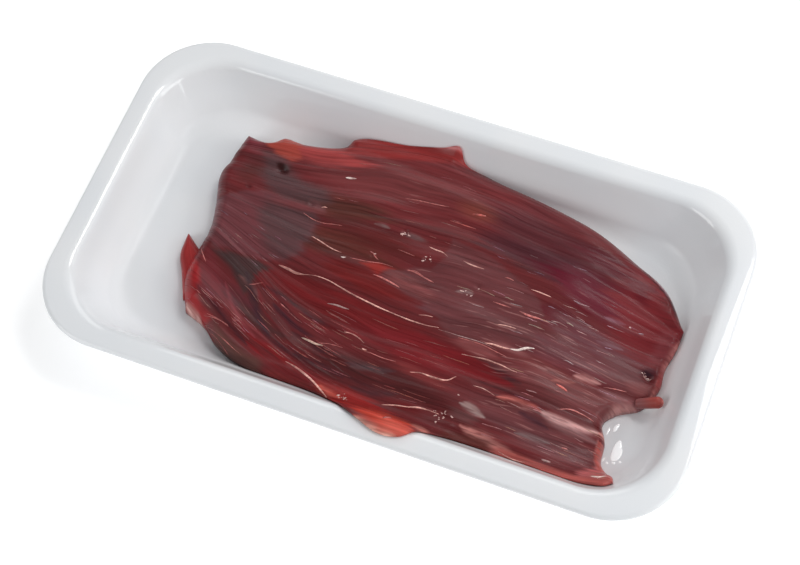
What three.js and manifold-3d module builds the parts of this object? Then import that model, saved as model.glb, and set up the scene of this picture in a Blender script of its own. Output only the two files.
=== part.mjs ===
// A raw beef slab lying on an open white foam meat tray.
// Units are millimetres and +Z is up. The origin is under the middle of the tray's flat base,
// and the tray's long side runs along X. The slab's muscle fibres run along X too.

import * as THREE from "three";
import { mergeVertices } from "three/addons/utils/BufferGeometryUtils.js";
import Module from "manifold-3d";

// Tray sizes
const trayLength = 270;
const trayWidth = 152;
const trayHeight = 25;
const foamThickness = 3;
const rimFlat = 6.5;
const bendRadius = 5;
const coveRadius = 9;
const wallAngle = THREE.MathUtils.degToRad(62);
const rimCornerRadius = 31;
const floorCornerRadius = 24;

// Tray mesh steps
const rimEdgeSteps = 4;
const bendSteps = 4;
const coveSteps = 4;
const cornerSteps = 9;
const longSideSteps = 5;
const shortSideSteps = 3;

// Slab sizes
const slabThickness = 14.6;
const slabCrown = 1.8;
const endThinning = 7.5;
const thinFrom = 60;
const thinTo = 110;
const edgeThickness = 5.2;
const lapThickness = 4;
const lipShare = 0.32;
const topRounding = 7;
const cutRounding = 3.5;
const cutFrom = 84;
const cutTo = 100;
const underRounding = 3;
const restGap = 0.6;
const rimGap = 1;
const blendSoftness = 4;
const thinnest = 1;

// Slab mesh steps, both even
const stepsAlong = 76;
const stepsAcross = 42;
const edgeCrowding = 0.45;
const insetHalvings = 24;
const curveDivisions = 600;

// The slab's outline as four edges, each from its low X or low Y end.
// The near edge climbs the tray's wall and laps over the rim in its middle.
const nearEdge = [
  [-79, -41], [-69, -44.8], [-61, -51], [-45, -57.8], [-35, -58.5], [-18, -59.6], [-6, -62.8],
  [8, -68.8], [19, -72.3], [27, -71], [34, -65], [44, -61.3], [64, -60.2], [86, -61.2], [100, -61.2],
  [106.5, -60.6], [109.6, -58],
];
const farEdge = [
  [-87, 44.4], [-76, 43.6], [-71, 48], [-60, 48.2], [-45.5, 52.4], [-42.5, 56.8], [-17.5, 60],
  [-4, 61.8], [3.4, 63], [6.6, 59.8], [19.5, 57.8], [45.6, 54.8], [69.4, 49.8], [89, 41.8],
  [104.5, 33.3], [115.4, 18],
];
const leftEdge = [
  [-79, -41], [-84.2, -30], [-85.6, -19], [-84.2, -6], [-86.2, 6], [-90.7, 22], [-89.2, 30], [-87, 44.4],
];
const rightEdge = [
  [109.6, -58], [108.4, -54], [102, -47], [100.5, -37.6], [97.2, -30], [101, -24.4], [109.5, -18.8],
  [113.8, -9], [113.3, 0], [115, 9], [115.4, 18],
];

// The loose tongue on the left end, drawn from its root to its tip
const tongueInner = [[-76, -33], [-79.5, -24], [-84, -15.5], [-88, -10.8], [-92, -7.2]];
const tongueOuter = [[-82.5, -36], [-88, -25], [-91.8, -18], [-92.6, -12], [-92.8, -7.6]];
const tongueThickness = 6;
const tongueRounding = 3;
const tongueSteps = [12, 6];

// The rolled tip on the right end
const curlRadius = 2.5;
const curlCapSteps = 4;
const curlSides = 12;
const curlFrom = new THREE.Vector3(107.5, -18.4, 8);
const curlTo = new THREE.Vector3(115, -17.3, 12.6);

// Folds in the slab's top: a step drops on the right of its path, a groove sinks, a ridge rises.
const folds = [
  {
    kind: "step", height: 2, width: 2, reach: 12,
    path: [[-85, -10], [-72, -15], [-56, -24], [-42, -33.5], [-30, -41], [-12, -46.5]],
  },
  {
    kind: "step", height: 1.5, width: 2, reach: 12,
    path: [[-52, -12.5], [-37.6, -14.4], [-18, -16.6], [2, -18.8], [24, -18.2]],
  },
  {
    kind: "step", height: 1.6, width: 2.2, reach: 10,
    path: [[42, -53], [57, -56.5], [74, -57.5], [104, -57]],
  },
  {
    kind: "groove", height: 1.5, width: 2.8,
    path: [[-66, -28], [-50, -36.5], [-36, -43.5], [-20, -50.5], [-6, -54]],
  },
  {
    kind: "groove", height: 1.2, width: 3,
    path: [[-20, -36], [-4, -40], [12, -43], [30, -42]],
  },
  {
    kind: "groove", height: 1.3, width: 3,
    path: [[26, -30], [45, -32], [66, -33.5], [97, -34]],
  },
  {
    kind: "groove", height: 1.2, width: 3.6,
    path: [[-45, 13], [-23, 16.6], [-2.5, 17.5], [17.4, 18.5], [40, 16], [75, 8]],
  },
  {
    kind: "groove", height: 1.1, width: 3.4,
    path: [[-42, 50], [-17, 49], [13, 46], [43, 40], [75, 31]],
  },
  {
    kind: "ridge", height: 1.7, width: 3,
    path: [[-50, -41], [-36, -47.5], [-25, -51.5], [-15.4, -56.6], [-5.4, -62.7]],
  },
  {
    kind: "ridge", height: 1.4, width: 2.6,
    path: [[46, -39], [62, -39.2], [77, -40.2], [99, -41.4]],
  },
];

// A step's lip: its height as a share of the drop, and how far from the path in widths
const stepLip = 0.35;
const stepLipAt = 0.8;
const pathEndFade = 0.02;

// Lines that the fibres follow from end to end, with each one's level across the slab
const flowLines = [
  {
    level: 0,
    path: [[-100, -26], [-79, -42], [-60, -51], [-35, -58.5], [-5, -63], [20, -65], [45, -62], [125, -60]],
  },
  {
    level: 20,
    path: [
      [-100, -2], [-85, -9], [-72, -15], [-56, -24], [-42, -33], [-28, -40.5], [-10, -45.5], [10, -47],
      [45, -47], [125, -49],
    ],
  },
  {
    level: 46,
    path: [[-100, 7], [-80, 0], [-60, -8], [-45, -12.5], [-18, -16.6], [2, -18.6], [24, -19], [90, -19.5], [125, -21]],
  },
  {
    level: 76,
    path: [[-100, 18], [-75, 15], [-45, 14], [-23, 16.2], [0, 17.6], [20, 18], [40, 16], [75, 12.5], [125, 6]],
  },
  {
    level: 116,
    path: [[-100, 39], [-60, 48], [-17, 58], [5, 60], [45, 55], [70, 49], [89, 42], [104, 33], [125, 14]],
  },
];

// Rolling waves across the fibres: spacing, height, how far they wander and how fast along
const waves = [
  { spacing: 25, height: 0.45, wander: 3, turn: 190, shift: 0.12 },
  { spacing: 11.5, height: 0.3, wander: 2.4, turn: 120, shift: 0.61 },
];
const waveSwell = 0.4;
const swellAlong = 110;
const swellAcross = 46;

const wasm = await Module();
wasm.setup();

// The tray's section: where each stretch of the inner face ends, as an inset from the rim's edge
const bendRun = bendRadius * Math.sin(wallAngle);
const bendDrop = bendRadius * (1 - Math.cos(wallAngle));
const coveRun = coveRadius * Math.sin(wallAngle);
const coveDrop = coveRadius * (1 - Math.cos(wallAngle));
const wallDrop = trayHeight - foamThickness - bendDrop - coveDrop;
const wallTopInset = rimFlat + bendRun;
const wallFootInset = wallTopInset + wallDrop / Math.tan(wallAngle);
const floorInset = wallFootInset + coveRun;

function innerHeight(inset) {
  if (inset >= floorInset) return foamThickness;
  if (inset >= wallFootInset) {
    return foamThickness + coveRadius - Math.sqrt(coveRadius ** 2 - (floorInset - inset) ** 2);
  }
  if (inset >= wallTopInset) {
    return trayHeight - bendDrop - (inset - wallTopInset) * Math.tan(wallAngle);
  }
  if (inset >= rimFlat) {
    return trayHeight - bendRadius + Math.sqrt(bendRadius ** 2 - (inset - rimFlat) ** 2);
  }
  return trayHeight;
}

function cornerRadiusAt(inset) {
  const share = THREE.MathUtils.clamp(inset / floorInset, 0, 1);
  return THREE.MathUtils.lerp(rimCornerRadius, floorCornerRadius, share);
}

// Signed distance from a point to the tray's outline at an inset, negative inside
function distanceToOutline(x, y, inset) {
  const r = cornerRadiusAt(inset);
  const qx = Math.abs(x) - (trayLength / 2 - inset - r);
  const qy = Math.abs(y) - (trayWidth / 2 - inset - r);
  return Math.hypot(Math.max(qx, 0), Math.max(qy, 0)) + Math.min(Math.max(qx, qy), 0) - r;
}

function insetOf(x, y) {
  let low = 0;
  let high = floorInset + 1;
  for (let i = 0; i < insetHalvings; i++) {
    const middle = (low + high) / 2;
    if (distanceToOutline(x, y, middle) < 0) low = middle;
    else high = middle;
  }
  return low;
}

// How far a place is up on the rim, from 0 on the wall to 1 on the bend
function onRim(inset) {
  return 1 - THREE.MathUtils.smoothstep(inset, wallTopInset, wallTopInset + bendRadius);
}

// Height that the slab's underside rests at, a little more over the rim's convex bend
function restHeight(x, y) {
  const inset = insetOf(x, y);
  return innerHeight(inset) + restGap + rimGap * onRim(inset);
}

// Rounded rectangle, counter-clockwise seen from above
function trayRing(inset, z) {
  const r = cornerRadiusAt(inset);
  const cx = trayLength / 2 - inset - r;
  const cy = trayWidth / 2 - inset - r;
  const centres = [[cx, cy], [-cx, cy], [-cx, -cy], [cx, -cy]];
  const ring = [];
  centres.forEach(([x, y], corner) => {
    for (let i = 0; i <= cornerSteps; i++) {
      const angle = (corner + i / cornerSteps) * (Math.PI / 2);
      ring.push(new THREE.Vector3(x + r * Math.cos(angle), y + r * Math.sin(angle), z));
    }
    const [nx, ny] = centres[(corner + 1) % 4];
    const steps = corner % 2 === 0 ? longSideSteps : shortSideSteps;
    const end = ring[ring.length - 1];
    const side = new THREE.Vector3(nx - x, ny - y, 0);
    for (let i = 1; i < steps; i++) ring.push(end.clone().addScaledVector(side, i / steps));
  });
  return ring;
}

// The section as [inset, height] points, over the top from the floor to the rim and back below
function traySection() {
  const points = [];
  const arc = (inset, z, radius, from, to, steps) => {
    for (let i = 0; i <= steps; i++) {
      const angle = THREE.MathUtils.lerp(from, to, i / steps);
      points.push([inset + radius * Math.cos(angle), z + radius * Math.sin(angle)]);
    }
  };
  const coveZ = foamThickness + coveRadius;
  const bendZ = trayHeight - bendRadius;
  const down = -Math.PI / 2;
  const up = Math.PI / 2;
  const wall = up - wallAngle;
  const half = foamThickness / 2;
  arc(floorInset, coveZ, coveRadius, down, down - wallAngle, coveSteps);
  arc(rimFlat, bendZ, bendRadius, wall, up, bendSteps);
  arc(half, trayHeight - half, half, up, up + Math.PI, rimEdgeSteps);
  arc(rimFlat, bendZ, bendRadius - foamThickness, up, wall, bendSteps);
  arc(floorInset, coveZ, coveRadius + foamThickness, down - wallAngle, down, coveSteps);
  return points;
}

function makeTray() {
  const rings = traySection().map(([inset, z]) => trayRing(inset, z));
  const size = rings[0].length;
  const positions = rings.flat().flatMap((p) => [p.x, p.y, p.z]);
  const faces = [];
  for (let r = 0; r + 1 < rings.length; r++) {
    for (let i = 0; i < size; i++) {
      const next = (i + 1) % size;
      const a = r * size + i;
      const b = r * size + next;
      const c = (r + 1) * size + next;
      const d = (r + 1) * size + i;
      faces.push(a, d, c, a, c, b);
    }
  }
  const floorCentre = positions.length / 3;
  positions.push(0, 0, foamThickness, 0, 0, 0);
  const baseCentre = floorCentre + 1;
  const last = (rings.length - 1) * size;
  for (let i = 0; i < size; i++) {
    const next = (i + 1) % size;
    faces.push(floorCentre, i, next, baseCentre, last + next, last + i);
  }
  return geometryFrom(positions, faces);
}

function geometryFrom(positions, faces) {
  const geometry = new THREE.BufferGeometry();
  geometry.setAttribute("position", new THREE.BufferAttribute(new Float32Array(positions), 3));
  geometry.setIndex(faces);
  return geometry;
}

function smoothCurve(points) {
  const knots = points.map(([x, y]) => new THREE.Vector3(x, y, 0));
  const curve = new THREE.CatmullRomCurve3(knots, false, "centripetal");
  curve.arcLengthDivisions = curveDivisions;
  return curve;
}

// Distance to a path, the side it is on (left is positive) and how far along, from 0 to 1
function nearestOnPath(path, x, y) {
  let best = { distance: Infinity, side: 1, along: 0 };
  for (let i = 0; i + 1 < path.length; i++) {
    const [x0, y0] = path[i];
    const [x1, y1] = path[i + 1];
    const dx = x1 - x0;
    const dy = y1 - y0;
    const share = ((x - x0) * dx + (y - y0) * dy) / (dx * dx + dy * dy);
    const t = THREE.MathUtils.clamp(share, 0, 1);
    const distance = Math.hypot(x - x0 - t * dx, y - y0 - t * dy);
    if (distance < best.distance) {
      const side = Math.sign(dx * (y - y0) - dy * (x - x0)) || 1;
      best = { distance, side, along: (i + t) / (path.length - 1) };
    }
  }
  return best;
}

function foldRelief(x, y) {
  let height = 0;
  for (const fold of folds) {
    const { distance, side, along } = nearestOnPath(fold.path, x, y);
    const inner = THREE.MathUtils.clamp(along, pathEndFade, 1 - pathEndFade);
    const fade = Math.sqrt(Math.sin(Math.PI * inner));
    const bell = Math.exp(-((distance / fold.width) ** 2));
    if (fold.kind === "groove") height -= fold.height * bell * fade;
    if (fold.kind === "ridge") height += fold.height * bell * fade;
    if (fold.kind === "step") {
      const over = (side * distance) / fold.width;
      const drop = 0.5 * (Math.tanh(over) - 1) * Math.exp(-((distance / fold.reach) ** 2));
      const lip = stepLip * Math.exp(-((over - stepLipAt) ** 2));
      height += fold.height * (drop + lip) * fade;
    }
  }
  return height;
}

// Height of a smooth curve through a path's points, where x lies
function curveAt(path, x) {
  const slope = (i) => {
    const low = path[Math.max(i - 1, 0)];
    const high = path[Math.min(i + 1, path.length - 1)];
    return (high[1] - low[1]) / (high[0] - low[0]);
  };
  let i = 0;
  while (i < path.length - 2 && x > path[i + 1][0]) i++;
  const [x0, y0] = path[i];
  const [x1, y1] = path[i + 1];
  const run = x1 - x0;
  const t = THREE.MathUtils.clamp((x - x0) / run, 0, 1);
  const rise = (1 + 2 * t) * (1 - t) ** 2 * y0 + t * t * (3 - 2 * t) * y1;
  return rise + run * (t * (1 - t) ** 2 * slope(i) - t * t * (1 - t) * slope(i + 1));
}

// Level across the fibres at a place, in millimetres from the near edge
function fibreLevel(x, y) {
  let k = 0;
  while (k < flowLines.length - 2 && y > curveAt(flowLines[k + 1].path, x)) k++;
  const low = curveAt(flowLines[k].path, x);
  const high = curveAt(flowLines[k + 1].path, x);
  const share = (y - low) / (high - low);
  return flowLines[k].level + share * (flowLines[k + 1].level - flowLines[k].level);
}

function waveRelief(x, y) {
  const level = fibreLevel(x, y);
  let height = 0;
  for (const { spacing, height: rise, wander, turn, shift } of waves) {
    const bend = wander * Math.sin(2 * Math.PI * (x / turn + shift));
    const swell = 1 + waveSwell * Math.sin(2 * Math.PI * (x / swellAlong + level / swellAcross + shift));
    height += rise * swell * Math.sin(2 * Math.PI * ((level + bend) / spacing + shift));
  }
  return height;
}

// Height of the slab's top well inside its outline
function slabTop(x, y, a, b) {
  const crown = slabCrown * (1 - (2 * b - 1) ** 2) * (1 - (2 * a - 1) ** 4);
  const thinning = endThinning * THREE.MathUtils.smoothstep(x, thinFrom, thinTo);
  const level = foamThickness + restGap + slabThickness - slabCrown + crown - thinning;
  const lap = THREE.MathUtils.lerp(edgeThickness, lapThickness, onRim(insetOf(x, y)));
  const onWall = restHeight(x, y) + lap;
  const gap = level - onWall;
  const smooth = 0.5 * (level + onWall + Math.sqrt(gap * gap + blendSoftness ** 2)) - 0.25 * blendSoftness;
  return smooth + waveRelief(x, y) + foldRelief(x, y);
}

// The top rounds off softly, but less at the cut right end
function slabRounding(x) {
  return THREE.MathUtils.lerp(topRounding, cutRounding, THREE.MathUtils.smoothstep(x, cutFrom, cutTo));
}

function tongueTop(x, y) {
  return restHeight(x, y) + tongueThickness;
}

// A soft slab inside four edge curves, with rounded edges, lying on the tray.
// The underside has half as many steps each way, and meets the top's outline vertex for vertex.
function softSlab(edges, [along, across], roundingAt, topOf) {
  const [near, far, left, right] = edges.map(smoothCurve);
  const crowd = (s) => s - (edgeCrowding * Math.sin(2 * Math.PI * s)) / (2 * Math.PI);
  const corners = [near.getPointAt(0), near.getPointAt(1), far.getPointAt(0), far.getPointAt(1)];
  const place = (a, b) => {
    const p = near.getPointAt(a).multiplyScalar(1 - b);
    p.addScaledVector(far.getPointAt(a), b);
    p.addScaledVector(left.getPointAt(b), 1 - a);
    p.addScaledVector(right.getPointAt(b), a);
    p.addScaledVector(corners[0], -(1 - a) * (1 - b));
    p.addScaledVector(corners[1], -a * (1 - b));
    p.addScaledVector(corners[2], -(1 - a) * b);
    p.addScaledVector(corners[3], -a * b);
    return p;
  };
  const grid = [];
  for (let j = 0; j <= across; j++) {
    for (let i = 0; i <= along; i++) {
      const a = crowd(i / along);
      const b = crowd(j / across);
      grid.push({ a, b, p: place(a, b), rim: i === 0 || j === 0 || i === along || j === across });
    }
  }
  const outline = grid.filter((g) => g.rim).map((g) => [g.p.x, g.p.y]);
  const at = (i, j) => j * (along + 1) + i;
  const edgeDistance = (x, y) => Math.min(...outline.map(([u, v]) => Math.hypot(x - u, y - v)));
  const positions = [];
  const under = new Map();
  for (const { a, b, p, rim } of grid) {
    const rest = restHeight(p.x, p.y);
    const lip = rest + lipShare * edgeThickness;
    const inward = rim ? 0 : Math.min(edgeDistance(p.x, p.y) / roundingAt(p.x), 1);
    const round = Math.sqrt(1 - (1 - inward) ** 2);
    const top = Math.max(topOf(p.x, p.y, a, b), lip + thinnest);
    positions.push(p.x, p.y, lip + (top - lip) * round);
  }
  const underVertex = (k) => {
    const { p, rim } = grid[k];
    if (rim) return k;
    if (!under.has(k)) {
      const inward = Math.min(edgeDistance(p.x, p.y) / underRounding, 1);
      const round = Math.sqrt(1 - (1 - inward) ** 2);
      under.set(k, positions.length / 3);
      positions.push(p.x, p.y, restHeight(p.x, p.y) + lipShare * edgeThickness * (1 - round));
    }
    return under.get(k);
  };
  const faces = [];
  for (let j = 0; j < across; j++) {
    for (let i = 0; i < along; i++) {
      const [a, b, c, d] = [at(i, j), at(i + 1, j), at(i + 1, j + 1), at(i, j + 1)];
      faces.push(a, b, c, a, c, d);
    }
  }
  for (let j = 0; j < across; j += 2) {
    for (let i = 0; i < along; i += 2) {
      const loop = [at(i, j), at(i + 1, j), at(i + 2, j), at(i + 2, j + 1), at(i + 2, j + 2)];
      loop.push(at(i + 1, j + 2), at(i, j + 2), at(i, j + 1));
      const kept = loop.filter((k, n) => n % 2 === 0 || grid[k].rim).map(underVertex);
      const middle = underVertex(at(i + 1, j + 1));
      kept.forEach((k, n) => faces.push(middle, kept[(n + 1) % kept.length], k));
    }
  }
  return geometryFrom(positions, faces);
}

function solidOf(geometry) {
  const bare = new THREE.BufferGeometry();
  bare.setAttribute("position", geometry.getAttribute("position").clone());
  bare.setIndex(geometry.index.clone());
  const merged = mergeVertices(bare, 1e-4);
  const mesh = new wasm.Mesh({
    numProp: 3,
    vertProperties: new Float32Array(merged.attributes.position.array),
    triVerts: new Uint32Array(merged.index.array),
  });
  return new wasm.Manifold(mesh);
}

function geometryOf(solid) {
  const { vertProperties, triVerts, numProp } = solid.getMesh();
  const positions = [];
  for (let i = 0; i < vertProperties.length; i += numProp) {
    positions.push(vertProperties[i], vertProperties[i + 1], vertProperties[i + 2]);
  }
  return geometryFrom(positions, [...triVerts]);
}

function makeTongue() {
  const ends = [
    [tongueInner[0], tongueOuter[0]],
    [tongueInner.at(-1), tongueOuter.at(-1)],
  ];
  const edges = [tongueInner, tongueOuter, ...ends];
  return softSlab(edges, tongueSteps, () => tongueRounding, tongueTop);
}

function makeCurl() {
  const span = new THREE.Vector3().subVectors(curlTo, curlFrom);
  const capsule = new THREE.CapsuleGeometry(curlRadius, span.length(), curlCapSteps, curlSides);
  const up = new THREE.Vector3(0, 1, 0);
  const turn = new THREE.Quaternion().setFromUnitVectors(up, span.clone().normalize());
  const middle = new THREE.Vector3().addVectors(curlFrom, curlTo).multiplyScalar(0.5);
  return capsule.applyQuaternion(turn).translate(middle.x, middle.y, middle.z);
}

function makeMeat() {
  const edges = [nearEdge, farEdge, leftEdge, rightEdge];
  const slab = solidOf(softSlab(edges, [stepsAlong, stepsAcross], slabRounding, slabTop));
  return geometryOf(slab.add(solidOf(makeTongue())).add(solidOf(makeCurl())));
}

function piece(name, geometry, color, roughness) {
  geometry.computeVertexNormals();
  const material = new THREE.MeshStandardMaterial({ color, roughness, metalness: 0 });
  const mesh = new THREE.Mesh(geometry, material);
  mesh.name = name;
  return mesh;
}

const pack = new THREE.Group();
pack.add(piece("tray", makeTray(), 0xeceef1, 0.35));
pack.add(piece("meat", makeMeat(), 0x6e2f33, 0.4));

export default pack;
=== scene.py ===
import math

import bpy
import numpy as np
from mathutils import Matrix, Quaternion, Vector
from mathutils.bvhtree import BVHTree


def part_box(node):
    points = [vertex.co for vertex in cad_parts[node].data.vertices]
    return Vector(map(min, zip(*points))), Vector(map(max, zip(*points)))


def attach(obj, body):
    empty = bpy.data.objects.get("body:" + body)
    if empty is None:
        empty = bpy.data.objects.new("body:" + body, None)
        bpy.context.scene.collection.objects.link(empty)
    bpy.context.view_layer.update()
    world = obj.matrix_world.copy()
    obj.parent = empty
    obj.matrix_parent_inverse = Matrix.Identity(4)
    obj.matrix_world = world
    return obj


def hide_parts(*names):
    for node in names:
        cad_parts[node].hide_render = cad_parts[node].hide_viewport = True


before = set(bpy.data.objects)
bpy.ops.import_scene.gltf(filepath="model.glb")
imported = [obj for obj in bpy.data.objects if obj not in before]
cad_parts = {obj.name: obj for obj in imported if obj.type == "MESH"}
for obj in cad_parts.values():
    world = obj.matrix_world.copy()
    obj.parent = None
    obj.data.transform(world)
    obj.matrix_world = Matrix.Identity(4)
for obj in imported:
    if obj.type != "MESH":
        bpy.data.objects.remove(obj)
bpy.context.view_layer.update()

# A raw beef slab on a white foam meat tray. Shapes are worked out in millimetres, as in the CAD
# model, and written to Blender in metres. The tray's long side and the meat's fibres run along X.

MM = 0.001
SEED = 41
# Cells either way in a noise table, steps to a span of a curve, rounds of halving, and the height in
# metres that rays come down from
NOISE_TABLE = 256
CURVE_STEPS = 60
HALVINGS = 24
RAY_FROM = 0.1
# Millimetres of meat to one unit of the fibre map
MAP_UNIT = 100

# The tray's sizes from the frame, and its section as in the CAD model
TRAY_LENGTH, TRAY_WIDTH, TRAY_HEIGHT = (round((b - a) / MM, 1) for a, b in zip(*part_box("tray")))
FOAM = 3.0
RIM_FLAT = 6.5
BEND_RADIUS = 5.0
COVE_RADIUS = 9.0
WALL_ANGLE = math.radians(62)
RIM_CORNER_RADIUS = 31.0
FLOOR_CORNER_RADIUS = 24.0

# Tray mesh steps
ARC_STEPS = 12
CORNER_STEPS = 28
SIDE_STEPS = 40
FLOOR_RINGS = 12

# Slab sizes. The top is the CAD model's, and the underside lies closer to the foam.
SLAB_LEVEL = 16.4
SLAB_CROWN = 1.8
EDGE_THICKNESS = 5.6
LAP_THICKNESS = 4.5
LIP_SHARE = 0.03
TOP_ROUNDING = 7.0
CUT_ROUNDING = 3.5
CUT_FROM = 84.0
CUT_TO = 100.0
UNDER_ROUNDING = 3.0
END_THINNING = 7.5
THIN_FROM = 60.0
THIN_TO = 110.0
REST_GAP = 0.12
RIM_GAP = 0.5
BLEND_SOFTNESS = 4.0
THINNEST = 1.0
EDGE_CROWDING = 0.45

# Slab mesh steps along and across
SLAB_STEPS = (460, 300)

# The slab's outline, as four curves
NEAR_EDGE = [
    (-79, -41), (-69, -44.8), (-61, -51), (-45, -57.8), (-35, -58.5), (-18, -59.6), (-6, -62.8),
    (8, -68.8), (19, -72.3), (27, -71), (34, -65), (44, -61.3), (64, -60.2), (86, -61.2), (100, -61.2),
    (106.5, -60.6), (109.6, -58),
]
FAR_EDGE = [
    (-87, 44.4), (-76, 43.6), (-71, 48), (-60, 48.2), (-45.5, 52.4), (-42.5, 56.8), (-17.5, 60),
    (-4, 61.8), (3.4, 63), (6.6, 59.8), (19.5, 57.8), (45.6, 54.8), (69.4, 49.8), (89, 41.8),
    (104.5, 33.3), (115.4, 18),
]
LEFT_EDGE = [
    (-79, -41), (-84.2, -30), (-85.6, -19), (-84.2, -6), (-86.2, 6), (-90.7, 22), (-89.2, 30), (-87, 44.4),
]
RIGHT_EDGE = [
    (109.6, -58), (108.4, -54), (102, -47), (100.5, -37.6), (97.2, -30), (101, -24.4),
    (109.5, -18.8), (113.8, -9), (113.3, 0), (115, 9), (115.4, 18),
]

# The loose tongue on the left end, from its root to its tip
TONGUE_INNER = [(-73, -33), (-76.5, -24), (-81.5, -15.5), (-87.6, -10.6), (-92, -7.2)]
TONGUE_OUTER = [(-82.5, -36), (-88, -25), (-91.8, -18), (-92.6, -12), (-92.8, -7.6)]
TONGUE_THICKNESS = 6.0
TONGUE_ROUNDING = 3.0
TONGUE_STEPS = (90, 44)
TONGUE_RELIEF = 0.5
# How long and wide the fibres take the tongue to be
TONGUE_LONG = 40
TONGUE_WIDE = 12

# The rolled tip on the right end, with the first and last angle and the steps of its domed end
CURL_RADIUS = 2.4
CURL_NARROW = 0.86
CURL_SIDES = 36
CURL_STEPS = 40
CURL_DOME = (0.1, 1.5, 12)
CURL_FROM = (107.5, -18.4, 8.0)
CURL_TO = (115.0, -17.3, 12.6)
# How long and far round the fibres take it to be, and where along that it reddens and ends
CURL_LONG = 8
CURL_AROUND = 12
CURL_REDDENS = (1, 6)
CURL_TIP = (7.4, 7.9)

# Folds in the slab's top, as in the CAD model: kind, height, width, reach and path
FOLDS = [
    ("step", 2.0, 2.0, 12, [(-85, -10), (-72, -15), (-56, -24), (-42, -33.5), (-30, -41), (-12, -46.5)]),
    ("step", 1.5, 2.0, 12, [(-52, -12.5), (-37.6, -14.4), (-18, -16.6), (2, -18.8), (24, -18.2)]),
    ("step", 1.6, 2.2, 10, [(42, -53), (57, -56.5), (74, -57.5), (104, -57)]),
    ("groove", 1.5, 2.8, 0, [(-66, -28), (-50, -36.5), (-36, -43.5), (-20, -50.5), (-6, -54)]),
    ("groove", 1.2, 3.0, 0, [(-20, -36), (-4, -40), (12, -43), (30, -42)]),
    ("groove", 1.3, 3.0, 0, [(26, -30), (45, -32), (66, -33.5), (97, -34)]),
    ("groove", 1.2, 3.6, 0, [(-45, 13), (-23, 16.6), (-2.5, 17.5), (17.4, 18.5), (40, 16), (75, 8)]),
    ("groove", 1.1, 3.4, 0, [(-42, 50), (-17, 49), (13, 46), (43, 40), (75, 31)]),
    ("ridge", 1.7, 3.0, 0, [(-50, -41), (-36, -47.5), (-25, -51.5), (-15.4, -56.6), (-5.4, -62.7)]),
    ("ridge", 1.4, 2.6, 0, [(46, -39), (62, -39.2), (77, -40.2), (99, -41.4)]),
]
STEP_LIP = 0.35
STEP_LIP_AT = 0.8
PATH_END_FADE = 0.02

# Lines that the fibres follow from end to end, with each one's level across the slab
FLOW_LINES = [
    (0, [(-100, -26), (-79, -42), (-60, -51), (-35, -58.5), (-5, -63), (20, -65), (45, -62), (125, -60)]),
    (20, [(-100, -2), (-85, -9), (-72, -15), (-56, -24), (-42, -33), (-28, -40.5), (-10, -45.5),
     (10, -47), (45, -47), (125, -49)]),
    (46, [(-100, 7), (-80, 0), (-60, -8), (-45, -12.5), (-18, -16.6), (2, -18.6), (24, -19),
     (90, -19.5), (125, -21)]),
    (76, [(-100, 18), (-75, 15), (-45, 14), (-23, 16.2), (0, 17.6), (20, 18), (40, 16), (75, 12.5),
     (125, 6)]),
    (116, [(-100, 39), (-60, 48), (-17, 58), (5, 60), (45, 55), (70, 49), (89, 42), (104, 33),
     (125, 14)]),
]

# The same with other last two lines, which the fine fibres follow level to the right end
FIBRE_LINES = [
    *FLOW_LINES[:3],
    (76, [(-100, 18), (-75, 15), (-45, 14), (-23, 16.2), (0, 17.6), (20, 17.6), (45, 15.5), (80, 13),
     (125, 10)]),
    (116, [(-100, 39), (-60, 48), (-17, 58), (5, 59), (30, 57), (60, 53.5), (90, 50.5), (125, 47)]),
]

# Rolling waves across the fibres: spacing, height, wander, turn and shift
WAVES = [(25, 0.45, 3, 190, 0.12), (11.5, 0.3, 2.4, 120, 0.61)]
WAVE_SWELL = 0.4
SWELL_ALONG = 110
SWELL_ACROSS = 46

# Fibre relief that the CAD model is too coarse for: length, width and height of its bundles
FIBRES = [(62, 4.0, 0.34), (33, 1.7, 0.16), (14, 0.8, 0.06)]
FIBRE_SEED = 10
# How far the bundles wander across, in a wave and in a drift, and that drift's length, width and seed
WANDER = 1.2
WANDER_LENGTH = 29
WANDER_WIDTH = 17
DRIFT_REACH = 2
DRIFT = (26, 9, 9)
# Where the fibres lie flatter: x and level ranges over which they calm, and by how much
CALM_X = (25, 65)
CALM_LEVEL = (42, 62)
CALMING = 0.55

# Small pits: x, y, radius and depth. They are longer than wide.
PITS = [
    (-4.3, 18.8, 1.0, 1.2), (7.9, 9.5, 0.8, 0.8), (-13.3, 3.8, 0.9, 0.5), (32.2, 4.6, 1.0, 0.7),
    (108.6, -7.6, 2.4, 1.8), (-63.8, 29.6, 2.4, 1.2), (-73.8, 16.6, 1.2, 0.5), (-1.3, -60.5, 0.9, 0.8),
    (38.2, -51.4, 0.8, 0.7), (-45.6, 17.4, 1.2, 0.8),
]
PIT_FLATNESS = 1.4

# Colours as eight-bit screen values
MEAT = (108, 47, 49)
HAZE = 0.007
DARKEST = 0.002
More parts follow.
